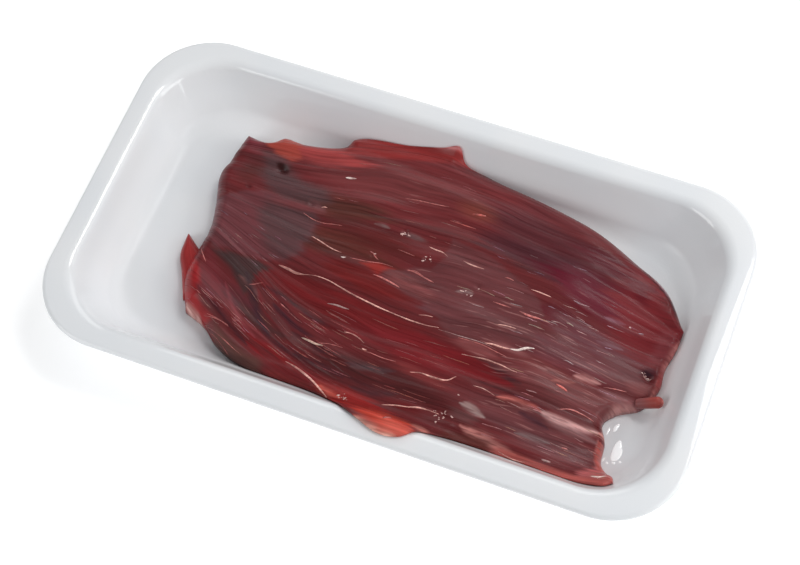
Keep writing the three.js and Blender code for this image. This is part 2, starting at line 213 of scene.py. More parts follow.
# Where the meat's colour changes, each zone over those before it: x, y, half length, half width, turn,
# colour, and its strength and softness where they aren't the defaults
ZONE_LEAST = 6
ZONE_DEFAULTS = (0.8, 0.5)
ZONES = [
    (20, 48, 60, 9, -3, (118, 58, 60)), (-22, 38, 30, 8, 6, (122, 62, 63)),
    (-5, 28, 26, 4, 5, (112, 48, 50), 0.9), (-30, 20, 16, 5, 3, (94, 54, 48), 0.9),
    (-28, 5, 18, 7, 0, (92, 48, 43), 0.9), (-12, 11, 15, 4, 2, (102, 44, 43)),
    (55, 34, 32, 10, -14, (90, 46, 51)), (50, 24, 24, 5, -12, (80, 44, 50), 0.8, 0.4),
    (64, 26, 12, 3.6, -8, (80, 42, 48)), (78, 17.5, 22, 8, -10, (103, 28, 44), 0.9),
    (96, 22.4, 18, 9, -45, (126, 46, 50), 0.9), (104, 8.7, 12, 12, -20, (122, 44, 48), 0.9),
    (32, -9, 14, 7, -8, (107, 65, 69), 0.9, 0.3), (55, -10, 24, 8, -5, (106, 58, 60)),
    (86, -1.3, 17, 5, -5, (109, 60, 68), 0.7), (80, -11.9, 18, 5, -3, (112, 63, 68)),
    (99, -9.4, 9, 7, 0, (112, 68, 70)), (58, -28, 20, 4, -4, (98, 50, 51), 0.8, 0.4),
    (82, -28.5, 18, 6, -2, (118, 67, 68)), (74, -22.5, 14, 4.5, -4, (126, 68, 68)),
    (-8, -9, 17, 5, -4, (112, 38, 38), 0.9, 0.4), (-12, -24, 36, 8, -8, (114, 38, 40), 0.95, 0.4),
    (20, -30, 27, 7, -3, (118, 38, 42), 0.95, 0.3), (40, -29, 13, 4, -8, (122, 38, 42), 0.9, 0.2),
    (8, -46, 26, 6, -2, (84, 41, 42), 0.9), (-26, -45, 14, 3, -18, (112, 46, 48), 0.7, 0.4),
    (70, -44.7, 30, 5, -2, (115, 67, 69)), (76, -49.3, 22, 4, -3, (102, 58, 61)),
    (92, -52.5, 12, 3, 0, (120, 70, 72), 0.7), (-52, 13.4, 9, 2, -6, (112, 66, 68), 0.7),
    (-74, 28, 7, 9, 0, (102, 55, 57)), (-80, 40, 8, 6, 20, (122, 56, 64)),
    (-55, 46, 17, 4, 6, (134, 58, 57), 0.85), (-48, 43, 12, 4.5, 10, (170, 74, 73), 0.9),
    (40, -21.6, 9, 2.4, -4, (142, 78, 78), 0.85), (106.6, -13, 6, 2.6, 0, (138, 82, 82), 0.85),
    (100, -20, 7, 2.4, 0, (142, 90, 92), 0.85), (109.4, 6.6, 3.6, 8, 0, (130, 62, 66)),
    (89, -41.2, 9, 2.2, -3, (148, 102, 103), 0.85), (45, -50.2, 6, 2, -8, (116, 76, 76)),
    (71, 3.4, 9, 3.6, -8, (97, 36, 44)), (90, 29, 9, 4, -36, (98, 32, 40)),
    (73, 34, 9, 4, -16, (92, 32, 41)), (57, -26, 8, 2, -4, (130, 74, 75)),
    (53, -17, 8, 1.8, -4, (148, 93, 93), 0.7), (-19, -30.6, 9, 2.4, -8, (88, 28, 31)),
    (5, 60, 9, 3, -4, (164, 78, 80), 0.85, 0.4), (2, 49, 34, 3, 2, (120, 52, 54)),
    (-48, -38, 15, 5, -38, (84, 53, 53), 0.9), (24, -40, 11, 2.6, -4, (130, 58, 58), 0.85),
    (-72, -31, 9, 6, -42, (110, 52, 57)), (-60, -33, 9, 3, -40, (98, 52, 58), 0.7),
    (-40, -48, 18, 3, -28, (118, 44, 48), 0.7), (-34, -52, 16, 2.6, -18, (140, 44, 46), 0.85),
    (3, -60.5, 18, 5, -12, (150, 44, 42), 0.9), (26, -56, 5, 3, 0, (110, 30, 32), 0.7),
    (20, -68, 13, 5.5, -6, (198, 74, 60), 0.95), (23, -69.6, 7, 2.6, -4, (222, 106, 92), 0.9, 0.6),
]
# How far zone borders stray along and across the fibres: reach, feature length and width, and seed
STRAY_ALONG = [(13, 24, 1.3, 31), (7.8, 9, 0.8, 34), (12, 30, 6, 32)]
STRAY_ACROSS = [(3, 20, 5, 33)]
# Zones shorter than this stray less, and patches stray by these shares along and across
STRAY_FROM = 14
PATCH_STRAY = (0.18, 0.5)
# Patches with a clear border: colour, strength, softness of the border, and outline
PATCHES = [
    ((92, 68, 70), 0.85, 3.2, [(-74, 34), (-66, 36), (-60, 30), (-53, 26.5), (-42, 25.5), (-38.5, 20.5),
     (-46, 16.5), (-58, 16), (-66, 19), (-72, 26)]),
    ((112, 64, 68), 0.9, 1.0, [(-86, 8), (-76, 14), (-66, 17), (-52, 15.5), (-43, 15), (-40.6, 4),
     (-40.6, -1.2), (-42.6, -7), (-47, -11), (-54.5, -13), (-65.5, -13.6), (-77, -13), (-86, -6)]),
    ((95, 66, 68), 0.95, 3.5, [(-66, 14.5), (-54, 14.5), (-43, 15), (-40, 3), (-41, -4), (-46, -10),
     (-56, -7), (-63, 3)]),
    ((168, 74, 64), 0.9, 1.2, [(-84, 46), (-76, 52), (-66, 49), (-60, 43), (-58, 37), (-63, 34.5),
     (-69, 35.5), (-73, 38), (-78, 42)]),
    ((74, 56, 56), 0.9, 1.5, [(-77, -14.3), (-66, -14.4), (-56, -14.4), (-50, -15.6), (-54, -20),
     (-54.5, -26), (-58, -29), (-62, -25), (-66.5, -20), (-72, -17)]),
    ((108, 61, 63), 0.85, 0.8, [(-8, -3.8), (-3, 1), (4.7, 5), (12, 6), (15, 14), (15, 22.3), (30, 20),
     (50, 12), (62, 4), (62, -12), (46, -17), (29, -20.8), (24.1, -15.9), (17, -9.5), (8, -8.6),
     (-2, -6)]),
    ((156, 44, 46), 0.95, 1.8, [(-95, -5), (-95, -13), (-88, -27), (-82, -39), (-70, -46), (-66, -43.7),
     (-71.6, -40.8), (-75, -35.7), (-76.5, -28.3), (-79.5, -22.3), (-82, -19.5), (-86, -15.1),
     (-87, -10.4)]),
    ((114, 50, 55), 0.7, 1.6, [(-80, -14), (-77, -14.4), (-70, -24), (-65, -31), (-69, -33), (-76, -22)]),
    ((146, 53, 52), 0.9, 1.6, [(-46, 57), (-42, 46), (-30, 48.4), (-18, 51.4), (-6, 54.4), (4, 57),
     (10, 59.5), (6, 64), (-18, 62)]),
    ((156, 46, 40), 0.9, 1.0, [(-17, -1.6), (-9.7, 1.4), (-3.8, 1.2), (-8.7, -3.6)]),
    ((200, 110, 110), 0.85, 1.4, [(94, -57), (99, -53.6), (102, -50.5), (106, -49.5), (110, -56),
     (108, -61), (97, -61)]),
]
# Small spots on top, in the form of the zones. The dark spots on the two pits at the left end are
# painted shade.
SPOTS = [
    (6, -4, 11, 3.2, -12, (134, 74, 74), 0.8, 0.4), (20, 38, 8, 4, -4, (130, 66, 58), 0.8, 0.6),
    (-43, 17.2, 4, 1.6, -20, (120, 76, 78)), (33, -63.6, 3.6, 1.8, -6, (176, 110, 102), 0.9, 0.4),
    (-52, 14.2, 11, 1.4, 4, (124, 66, 68), 0.7, 0.6), (-0.5, 17.6, 5, 1.2, -3, (112, 84, 84)),
    (107.6, -5.2, 3, 1.7, 20, (56, 38, 46), 0.9, 0.7), (113, -6, 1.3, 5, 0, (150, 66, 66), 0.9, 0.4),
    (103.4, -57, 3, 1, -4, (196, 144, 124), 0.6, 0.6),
    # Painted shade in the two pits at the left end
    (-64.1, 30.1, 3.4, 1.7, -30, (60, 32, 32), 0.95, 0.4), (-74, 16.8, 1.6, 1, 0, (76, 36, 38)),
    (-76, 24, 4, 6, -20, (96, 48, 46), 0.7, 0.6),
]
# Pale or dark streaks painted along a path: half width, colour, strength and path. Some are painted
# shade and some painted highlights, as marked below.
STREAKS = [
    # The two grey-white streaks here are a painted highlight on the wet surface
    (1.3, (176, 146, 142), 0.9, [(42.9, -45.9), (46.5, -46.2), (49.6, -47.4), (53.9, -48.2)]),
    (0.9, (158, 128, 124), 0.7, [(44.4, -44.8), (47.8, -45.4), (51.5, -46.6)]),
    (1.9, (230, 176, 172), 0.9, [(73.7, -38.6), (77.4, -38.8), (80.9, -38.9), (88.4, -38.3),
     (98.6, -36.6)]),
    (1.5, (200, 110, 102), 0.9, [(56, -39.2), (59.7, -38.4), (65, -37.8), (70.5, -37.6), (73.7, -38.6)]),
    (1.3, (196, 138, 134), 0.9, [(80.6, -18.2), (85.1, -17.3), (91.4, -17.1)]),
    (0.8, (160, 94, 88), 0.9, [(73, -23.9), (77.5, -22.1), (82, -20.7)]),
    (0.9, (124, 102, 102), 0.8, [(67, -49.9), (74.5, -49.3), (81, -48.6)]),
    (0.8, (150, 126, 124), 0.8, [(24.6, -0.1), (27.9, 0.8), (31.5, 1)]),
    (0.8, (130, 108, 106), 0.8, [(-17.6, 17.8), (-14.3, 18.2), (-11.4, 17.8)]),
    (0.9, (150, 104, 116), 0.7, [(84, 10.5), (88.4, 10.5), (92.8, 11)]),
    (0.9, (138, 100, 108), 0.7, [(84, -0.3), (89, 0.1), (95.3, 0.5)]),
    (2.1, (220, 146, 138), 0.85, [(46.2, -54.2), (51.9, -55.8), (56.2, -56.6), (60.8, -57.6),
     (69.9, -58.2)]),
    (1.5, (202, 126, 122), 0.85, [(115.2, 13), (114.6, 8.5), (113.3, 0.3), (113.5, -8.1), (111.5, -14)]),
    (1.6, (212, 154, 150), 0.85, [(108, -20.4), (104, -21.6), (100.4, -24.4), (98.8, -29),
     (98.4, -35.5)]),
    (1.3, (242, 196, 186), 0.85, [(-78.6, -39.6), (-75, -42.2), (-70, -44.6)]),
    (1.2, (230, 150, 140), 0.85, [(97.4, -36.6), (99.5, -36.4), (101.5, -36.2)]),
    (1.0, (206, 136, 136), 0.8, [(-8, 61), (0, 62.2), (6, 62.6), (10, 61)]),
    (1.6, (214, 100, 88), 0.85, [(-15, -56.6), (-10, -58.6), (-5, -60.4), (-1, -61.2)]),
    (1.5, (255, 190, 172), 0.85, [(8, -69), (14, -71.6), (20, -72.6), (26, -71.4)]),
    # The dark streaks from here on are painted shade along grooves and folds between the fibre bundles,
    # and along the fold line by the right end's far edge
    (1.0, (70, 38, 42), 0.7, [(46, -34.2), (56, -34.6), (66, -35.3), (76, -35.6)]),
    (1.2, (76, 42, 46), 0.6, [(38, 19.4), (52, 19), (64, 17.5)]),
    (1.0, (72, 38, 42), 0.6, [(-8, -49.5), (4, -51), (18, -51.2)]),
    (0.8, (66, 40, 44), 0.7, [(-44, -26), (-36, -31.5), (-28, -35.5)]),
    (0.9, (108, 88, 88), 0.6, [(-3.7, -46), (0.3, -45.3), (5.3, -43.9), (10, -44.4)]),
    (0.8, (60, 34, 40), 0.8, [(92, 37.6), (98.4, 33.9), (103.6, 30.9), (107.6, 27.3), (110.6, 22.7)]),
    (1.0, (148, 98, 96), 0.7, [(-62, -22.4), (-56, -25), (-50, -29)]),
    (1.7, (72, 46, 54), 0.85, [(-58.9, -21.1), (-52.6, -29.3), (-45.9, -38.4), (-38.9, -44.3)]),
    (1.3, (70, 42, 46), 0.85, [(-48.6, -24.3), (-42.1, -25.9), (-33.8, -28.5), (-25.4, -31.1),
     (-17.8, -32.3)]),
    (1.3, (74, 44, 52), 0.85, [(-43, -30.6), (-39.4, -32.6), (-30.1, -37.3), (-22.2, -39.1)]),
    (1.3, (132, 50, 54), 0.8, [(-51.5, -26.4), (-47, -32.2), (-40.5, -37.4), (-31.7, -41)]),
    (1.2, (76, 46, 50), 0.8, [(-31.6, -39.4), (-24.9, -41.4), (-18.5, -43.2), (-12.7, -43.6)]),
    (1.6, (72, 44, 49), 0.8, [(-44, -42), (-37.8, -45.1), (-30.7, -46.9), (-21.6, -48), (-12.5, -49.1),
     (-4.7, -51)]),
    (1.5, (84, 60, 64), 0.8, [(-5.5, -45.1), (0, -44.7), (6.6, -43.5), (14.2, -41.5)]),
    (1.6, (80, 48, 52), 0.8, [(-0.7, -53.6), (6.5, -54.2), (12.9, -52.6), (18.9, -49.8)]),
    (1.6, (130, 38, 42), 0.8, [(-46.6, -49.7), (-37.9, -53.3), (-30.1, -54.9), (-20.7, -56.9),
     (-12, -57)]),
    (1.5, (72, 46, 50), 0.8, [(48, -26), (52.1, -27.2), (57.6, -28.9), (62.4, -29.7)]),
    (1.6, (82, 50, 58), 0.8, [(66, -42), (72, -42.6), (78.6, -43.8)]),
    (1.2, (72, 44, 50), 0.7, [(-70, -36), (-62, -41), (-54, -46), (-46, -51)]),
    (0.9, (140, 66, 72), 0.7, [(-66, -27), (-60, -35), (-52, -42.5), (-44, -47)]),
]
# The fibres break streaks and spots up: feature length, width and seed, range, and what is left in gaps
BREAKS = (3.2, 0.6, 35)
BREAK_RANGE = (0.15, 0.6)
STREAK_BREAKING = 0.5
SPOT_BREAKING = 0.7
# Where pale fibres show, partly pale membrane and partly painted highlights along wet fibre ridges:
# x, y, half length, half width, turn and amount
SILVER_AND_SHEEN = [
    (62, -12, 48, 22, -6, 1.0), (20, 2, 24, 12, -20, 0.8), (75, -45.3, 36, 10, -2, 0.9),
    (-62, -36, 18, 12, -40, 0.7), (70, 14.3, 36, 10, -14, 0.45), (0, 42, 44, 10, 2, 0.4),
    (5, -44, 34, 8, -4, 0.35), (-72, -6, 16, 10, -40, 0.3),
]
SILVER_AND_SHEEN_BORDER = (0.5, 1.3)
# Painted light and shade on the slab's side along the near edge, lighter where that side is lit and
# darker where it is in shade: x from and to, width, colour and strength
NEAR_SIDE_LIGHT_AND_SHADE = [
    (-62, -38, 4.2, (104, 68, 62), 0.9), (-36, -14, 2.4, (128, 50, 50), 0.8),
    (40, 60, 4.0, (92, 44, 40), 0.85), (62, 110, 3.2, (178, 90, 84), 0.9),
]
SIDE_BORDER = (0.6, 1.2)
SIDE_FADE = 3
NEAR_BELOW = -40
# The thin skin on the left edge: width, colour, strength and where it lies
LEFT_SKIN = (1.2, (128, 92, 100), 0.8)
SKIN_BORDER = (0.5, 1.5)
LEFT_BELOW = -80
LEFT_ABOVE = -12
TONGUE_RED = (158, 50, 50)
CURL_ROOT = (144, 86, 86)
CURL_RED = (164, 76, 70)
CURL_CENTRE = (196, 112, 104)
END_PALE = 0.3

WHITE = (255, 232, 224)
CREAM = (255, 188, 174)
PINK = (222, 126, 120)
CORAL = (222, 108, 98)
SILVERY = (190, 152, 148)
LILAC = (176, 138, 150)

# Thin strands on the top: width, colour, and x and y points. Some short white, coral and silvery ones
# are painted glints on the wet surface rather than strands.
STRANDS_AND_GLINTS = [
    (0.9, WHITE, [(-37.3, 34.4), (-34.9, 34.9), (-32.9, 35.4)]),
    (0.5, CREAM, [(-41.3, 17.4), (-40.2, 18), (-38.9, 18.1)]),
    (0.4, PINK, [(-47.4, 12.5), (-42.4, 11), (-37.9, 10.8), (-33.8, 11.6), (-30, 12.3)]),
    (0.5, PINK, [(-10.4, 33.8), (-4.5, 34.6), (1.9, 35.2), (8.2, 36)]),
    (0.9, CORAL, [(18.4, 36.1), (21.1, 36.5), (23.9, 37)]),
    (0.5, CORAL, [(10.7, 30.1), (14.7, 30.1), (18.4, 30), (22, 30)]),
    (0.5, CREAM, [(-40.1, 3.5), (-35.2, 2.3), (-30.1, 0.8), (-25.6, 0.4)]),
    (0.6, WHITE, [(-25.1, -1.6), (-23.9, -1.5), (-23, -0.9)]),
    (0.5, PINK, [(-15, 5.1), (-13.5, 4.8), (-11.8, 3.4), (-10.3, 2.6)]),
    (0.35, PINK, [(-21.5, -0.6), (-14.6, 0.3), (-7.9, 1.6), (-3.5, 1.6)]),
    (0.35, PINK, [(-4.4, 9.7), (-0.7, 9.3), (3.1, 9)]),
    (0.6, CREAM, [(7.1, 15.4), (10.2, 14.9), (13.2, 14.7), (15.8, 13.5)]),
    (0.6, CREAM, [(22.5, 13.9), (25.3, 13.2), (28.2, 13), (31.7, 13.1)]),
    (0.6, PINK, [(2.3, 2.4), (5.6, 2.4), (9.5, 1.5), (14.5, 0.5)]),
    (0.7, PINK, [(-9.7, -4.7), (-6.8, -4.8), (-2.1, -5.6), (2.6, -6.8)]),
    (0.5, PINK, [(40.9, 12.3), (42.6, 12.5), (44.9, 12.1)]),
    (0.6, CREAM, [(52.8, 10.8), (56.7, 10.7), (61.4, 10.3)]),
    (1.1, CREAM, [(-47.8, -13.3), (-43.6, -13.7), (-39.7, -14.3), (-36.1, -14)]),
    (0.65, CREAM, [(-36.2, -13.9), (-31.3, -13.2), (-26.1, -13.4), (-20.6, -14.5), (-14.3, -15.8),
     (-7.4, -16.9), (-0.5, -17.9), (6.1, -18.5), (12.7, -18.9), (19.7, -18.8), (23.8, -18.2)]),
    (0.6, CREAM, [(14.3, -15.7), (16.9, -15), (20, -14.6)]),
    (0.7, SILVERY, [(-22.5, -22.7), (-19, -22.2), (-16.1, -22.3), (-13.3, -22.3)]),
    (0.5, CREAM, [(-11.2, -32.6), (-7.7, -32.4), (-4.5, -33.3), (-1.8, -34.7)]),
    (1.0, (214, 178, 160), [(-26.4, -40.6), (-23.2, -40.9), (-20, -41.4), (-17, -41.2)]),
    (0.35, PINK, [(-19.4, -40.8), (-15, -39.4), (-9.5, -38.9)]),
    (0.4, PINK, [(-56.2, -25), (-53, -24.5), (-50.4, -23.5)]),
    (0.4, PINK, [(-40.2, -29.6), (-37.1, -31), (-35.2, -31.9)]),
    (0.4, PINK, [(-82.9, -14.2), (-80.2, -17.8), (-77.3, -21.1)]),
    (0.4, PINK, [(-67.6, -42.3), (-61.5, -44), (-56.2, -45.9)]),
    (0.4, PINK, [(2.6, 2), (5.8, 2.9), (11.6, 0.9), (14.7, 0.4)]),
    (0.35, SILVERY, [(23.9, -19), (28.7, -18.8), (33, -18.8), (39.2, -18.5), (44.1, -18.6),
     (48.5, -19.3)]),
    (0.45, PINK, [(32.6, -19.7), (37.4, -19.4), (43, -19.4), (48.2, -20.2), (53.3, -20.9)]),
    (0.7, CREAM, [(43.2, -18.2), (46.5, -17.6), (50, -17.6), (53.4, -17.2)]),
    (1.1, WHITE, [(53.4, -17.2), (56.7, -16.6), (59.5, -14.9), (62.7, -14.1)]),
    (0.6, CREAM, [(36.2, -25.7), (40.9, -25.3), (45.7, -24.8), (49.8, -24.9), (53.4, -25.1),
     (57.1, -25.7), (59.9, -25.8)]),
    (0.5, CREAM, [(44.6, -9.3), (48.9, -8.4), (53, -8.2)]),
    (0.9, PINK, [(51.6, -0.1), (54.5, -0.6), (57.4, -0.7), (60.8, -0.5)]),
    (0.5, SILVERY, [(64.8, 0.4), (68.1, 0.8), (71.9, 0.2)]),
    (0.6, LILAC, [(70.3, 12.2), (72.9, 11.7), (77.1, 12.1)]),
    (0.5, PINK, [(40.1, 0.4), (43.7, 0.2), (48, 0.1)]),
    (0.5, LILAC, [(98.6, 9.4), (100.9, 10)]),
    (0.8, CORAL, [(75.5, -24.6), (78.6, -25.1), (80.5, -25.7)]),
    (0.5, LILAC, [(95.8, 35.7), (99.9, 34), (104.3, 31.3), (107.1, 29)]),
    (0.9, CREAM, [(-28.4, -52.6), (-24.4, -53.4), (-20.4, -54.6), (-15.6, -56.4), (-10.8, -59.2),
     (-6.6, -62.4)]),
    (0.7, CREAM, [(14.3, -57), (18.9, -55.4), (24.1, -54.3), (28.4, -53), (33.1, -52.6), (36.6, -52.7)]),
    (0.8, CREAM, [(19.7, -40), (23.9, -39), (28.8, -39.1), (34.8, -38.5), (37.7, -35.8)]),
    (0.5, CREAM, [(-2, -36.8), (-0.9, -37), (0.1, -36.9)]),
    (0.4, PINK, [(-69.1, -42.9), (-65.7, -43.3), (-61.4, -44.2), (-56.4, -45.5)]),
    (0.4, PINK, [(-68.1, -45), (-61.5, -48.3), (-56, -50.8), (-51.3, -53), (-46.9, -54.7)]),
    (0.4, PINK, [(-64.4, -47.8), (-58.2, -51.3), (-53.6, -54.4)]),
    (0.35, PINK, [(0.7, -37.3), (7.3, -38), (12.9, -37.8)]),
    (0.8, CORAL, [(19.3, -67.2), (20.8, -66), (22.6, -65.5)]),
    (0.4, CREAM, [(45.3, -37.3), (49.5, -37.4), (55, -39.1)]),
    (0.6, CREAM, [(63.4, -59), (68.6, -60), (72.8, -60.2), (74.8, -60)]),
    (0.9, WHITE, [(100.4, -57.4), (103.3, -57.3), (106.2, -55.7)]),
    (0.6, PINK, [(78.9, -33.9), (83.8, -31.9), (88.8, -31.9), (93.9, -32.7)]),
    (0.9, SILVERY, [(106, -6.9), (108.3, -7.6), (109.4, -6.6)]),
    (0.4, PINK, [(92.9, -17.7), (97.5, -16.7), (102.1, -16.1)]),
    (0.8, SILVERY, [(80.3, -56.3), (82.3, -56.2), (83.9, -55.9)]),
    (0.5, PINK, [(85.7, -48.3), (87, -48), (88.4, -47.9)]),
]
STRAND_FLATNESS = 0.45
STRAND_SIDES = 8
STRAND_STEP = 0.4
STRAND_LEAST = 8
STRAND_LIFT = 0.1
STRAND_END = 0.03
STRAND_POINTING = 0.6
STRAND_UNEVEN = (0.75, 1.25)
STRAND_FADE = (142, 66, 62)
STRAND_FADING = 0.65
FADE_RANGE = (0.35, 0.8)
# Noise of their width and fading: steps to a feature, how far apart strands lie in it, and seed
UNEVEN_NOISE = (12.0, 3.0, 60)
FADE_NOISE = (9.0, 5.0, 61)
# Short threads along the fibres: how many, x and level ranges, length and width ranges, colour
THREADS = [
    (46, (-34, 34), (14, 44), (4, 13), (0.2, 0.36), (160, 74, 70)),
    (26, (-60, -20), (6, 30), (3, 9), (0.22, 0.36), (170, 98, 98)),
    (34, (24, 92), (46, 72), (3, 8), (0.24, 0.42), SILVERY),
    (12, (30, 96), (72, 90), (2.5, 6), (0.2, 0.3), (150, 104, 116)),
    (30, (50, 102), (8, 44), (3, 9), (0.24, 0.4), (184, 122, 116)),
    (14, (-40, 20), (74, 108), (3, 9), (0.2, 0.3), (160, 96, 92)),
    (18, (-84, -50), (30, 62), (2, 5), (0.2, 0.3), (142, 92, 100)),
    (26, (-80, -52), (0.8, 9), (3, 8), (0.2, 0.32), (174, 108, 108)),
]
THREAD_SEED = 70
THREAD_POINTS = 4
THREAD_WANDER = 0.25
THREAD_SHADES = (0.85, 1.1)

# Drops: their height as a share of their half width, their steps, how far they sink in, and the lobes
# of their outline, each with its depth, count and shift
DROP_RISE = 0.6
PUDDLE_RISE = 0.3
DOME_RINGS = 8
DOME_SIDES = 28
DOME_SINK = 0.03
DOME_LOBES = [(0.16, 2, 1), (0.1, 3, 2.3)]

# Wet drops that catch the light, glossy and drawn pale as a painted highlight: x, y, half length, half
# width and turn
DROPS = [
    (-5.4, 17.2, 0.9, 0.5, 10), (-2.4, 17.4, 0.5, 0.3, 0), (9.7, 9.6, 0.5, 0.4, 0),
    (7.1, 8, 0.6, 0.35, 30), (94.8, 10.6, 0.5, 0.35, 0), (36.7, -56.5, 0.5, 0.4, 0),
    (38.6, -50.8, 0.35, 0.35, 0), (37.4, -54.8, 0.35, 0.3, 0), (41.8, -52.1, 0.6, 0.4, -20),
    (41.2, -42.9, 0.4, 0.3, 0), (-3, -59.4, 0.8, 0.5, 60), (0, -60.8, 0.6, 0.4, 0),
    (32.8, 3.8, 0.4, 0.3, 0), (-12.8, 4.6, 0.5, 0.3, 0), (26.6, 0.7, 0.8, 0.35, 0),
    (58.8, -15.6, 0.7, 0.35, 10), (104, -56.4, 0.7, 0.4, 0), (101.6, -57.2, 0.5, 0.3, 0),
    (108.2, -7.1, 0.6, 0.35, 0),
]
# Clusters of tiny glints: x, y, reach and how many
GLINTS = [
    (-4, 18, 2.2, 7), (8.2, 9, 2.4, 7), (-13, 4.4, 2, 5), (37.5, -52, 4, 12), (-1, -60.2, 2.6, 12),
    (106.4, -6.4, 1.6, 5), (103, -57, 2.6, 7), (28, 0.4, 2.2, 5),
]
GLINT_SEED = 80
GLINT_SPREAD = 0.5
GLINT_FLATNESS = 0.6
GLINT_SIZE = (0.13, 0.3)
GLINT_STRETCH = (1, 1.8)
GLINT_TURN = (-40, 20)
# Wet patches on the tray's floor, drawn white and glowing as a painted highlight: x, y, half length,
# half width and turn
PUDDLES = [
    (105.8, -38.8, 4.8, 2.1, 82), (102.4, -29, 1.9, 0.9, 70), (106.1, -43.9, 0.7, 0.6, 0),
    (108.4, -42.8, 0.6, 0.5, 0), (103.6, -44.6, 0.6, 0.5, 0), (99.9, -31.4, 2.2, 0.35, 84),
    (101.9, -43.6, 1.2, 0.3, 70),
]
# Colour and glow of the wet drops and of the wet patches on the tray. The pale and white colours are
# painted highlights, and the patches' glow is painted light.
WET_MEAT_GLINT = ((220, 178, 170), 0.0)
JUICE_GLINT = ((244, 245, 246), 0.3)

# Fibre noise in the meat's material: repeats in one unit of the fibre map along and across, detail and
# roughness, for its patches, bundles, fine fibres, hairs and pale streaks. The pale streaks are partly
# painted highlights along wet fibre ridges.
FIBRE_NOISE = [(2.0, 8, 1), (1.8, 24, 2), (3.6, 90, 2), (9, 260, 2), (5, 80, 2, 0.6)]
NOISE_RANGE = (0.3, 0.7)
PATCHY_RANGE = (0.35, 0.65)
BEND_SCALE = 2.2
BEND_RANGE = (0.2, 0.8)
BEND_REACH = 0.02
# How far fine fibres, bundles and hairs darken and lighten the colour, and how they stand out
FINE_GRAIN = (0.06, 0.2)
BUNDLE_GRAIN = 0.18
HAIR_GRAIN = 0.05
FINE_RELIEF = 0.6
HAIR_RELIEF = 0.2
# The pale fibres' colour: partly pale membrane, partly painted highlights along wet fibre ridges
PALE_FIBRE_AND_SHEEN = (0.4, 0.17, 0.16, 1)
PALE_LIFT = 0.15
PALE_RANGE = (0.72, 0.8)
PALE_SHARE = (0.1, 0.5)
FOAM_SHADE = (0.86, 0.88, 0.9, 1)
FOAM_WHITE = (0.89, 0.9, 0.91, 1)
# Heights in metres between which the foam turns glossy
GLOSS_HEIGHT = (0.012, 0.02)

# The camera, from the tray's rim in the photograph
CAMERA_AT = (0.15325, -0.32825, 0.69823)
CAMERA_AIM = (0.00324, -0.00724, 0.0235)
CAMERA_ROLL = math.radians(-4.58)
CAMERA_LENS = 85.5
CAMERA_SENSOR = 36
CAMERA_CLIP = 0.01

# Area lights that face the origin: name, place, width and height in metres, and power in watts
LIGHTS = [
    ("window", (0.36, 0.52, 1.1), (0.4, 0.26), 3.0),
    ("far_right", (0.85, 0.5, 1.0), (0.8, 0.8), 2.3),
    ("right", (1.1, 0, 0.6), (0.8, 0.6), 5.4),
    ("near_left", (-0.8, -0.9, 0.7), (0.8, 0.6), 4.9),
    ("far", (0, 1.1, 0.7), (1.0, 0.6), 3.0),
]
SKY_COLOUR = (0.95, 0.97, 1, 1)
SKY_STRENGTH = 0.3

# The backdrop's half size, how far it lies under the tray, and its look
FLOOR_REACH = 3.0
FLOOR_DROP = 0.0003
FLOOR_LOOK = {
    "Base Color": (0.94, 0.94, 0.94, 1), "Roughness": 0.9,
    "Emission Color": (1, 1, 1, 1), "Emission Strength": 0.35,
}


def smoothstep(value, low, high):
    """0 below low, 1 above high, and a smooth rise between them."""
    share = np.clip((value - low) / (high - low), 0, 1)
    return share * share * (3 - 2 * share)


def between(start, end, share):
    return start + (end - start) * share


def value_noise(u, v, seed):
    """Smooth noise from 0 to 1 with features one unit across."""
    table = np.random.default_rng(SEED + seed).random((NOISE_TABLE, NOISE_TABLE))
    i, j = np.floor(u).astype(int), np.floor(v).astype(int)
    fu, fv = smoothstep(u - i, 0, 1), smoothstep(v - j, 0, 1)
    corner = [table[(i + di) % NOISE_TABLE, (j + dj) % NOISE_TABLE] for di in (0, 1) for dj in (0, 1)]
    return between(between(corner[0], corner[1], fv), between(corner[2], corner[3], fv), fu)


def fibre_noise(x, level, length, width, seed):
    return value_noise(x / length, level / width, seed)


# The tray's section

bend_run = BEND_RADIUS * math.sin(WALL_ANGLE)
bend_drop = BEND_RADIUS * (1 - math.cos(WALL_ANGLE))
cove_run = COVE_RADIUS * math.sin(WALL_ANGLE)
cove_drop = COVE_RADIUS * (1 - math.cos(WALL_ANGLE))
wall_top = RIM_FLAT + bend_run
wall_foot = wall_top + (TRAY_HEIGHT - FOAM - bend_drop - cove_drop) / math.tan(WALL_ANGLE)
floor_inset = wall_foot + cove_run


def inner_height(inset):
    """Height of the tray's inside at a distance in from the rim's edge."""
    bend = TRAY_HEIGHT - BEND_RADIUS + np.sqrt(np.clip(BEND_RADIUS**2 - (inset - RIM_FLAT) ** 2, 0, None))
    wall = TRAY_HEIGHT - bend_drop - (inset - wall_top) * math.tan(WALL_ANGLE)
    cove = FOAM + COVE_RADIUS - np.sqrt(np.clip(COVE_RADIUS**2 - (floor_inset - inset) ** 2, 0, None))
    places = [inset >= floor_inset, inset >= wall_foot, inset >= wall_top, inset >= RIM_FLAT]
    return np.select(places, [FOAM, cove, wall, bend], TRAY_HEIGHT)


def corner_radius(inset):
    return between(RIM_CORNER_RADIUS, FLOOR_CORNER_RADIUS, np.clip(inset / floor_inset, 0, 1))


def outline_distance(x, y, inset):
    """Distance to the tray's outline at an inset, negative inside it."""
    r = corner_radius(inset)
    qx = np.abs(x) - (TRAY_LENGTH / 2 - inset - r)
    qy = np.abs(y) - (TRAY_WIDTH / 2 - inset - r)
    outside = np.hypot(np.maximum(qx, 0), np.maximum(qy, 0))
    return outside + np.minimum(np.maximum(qx, qy), 0) - r


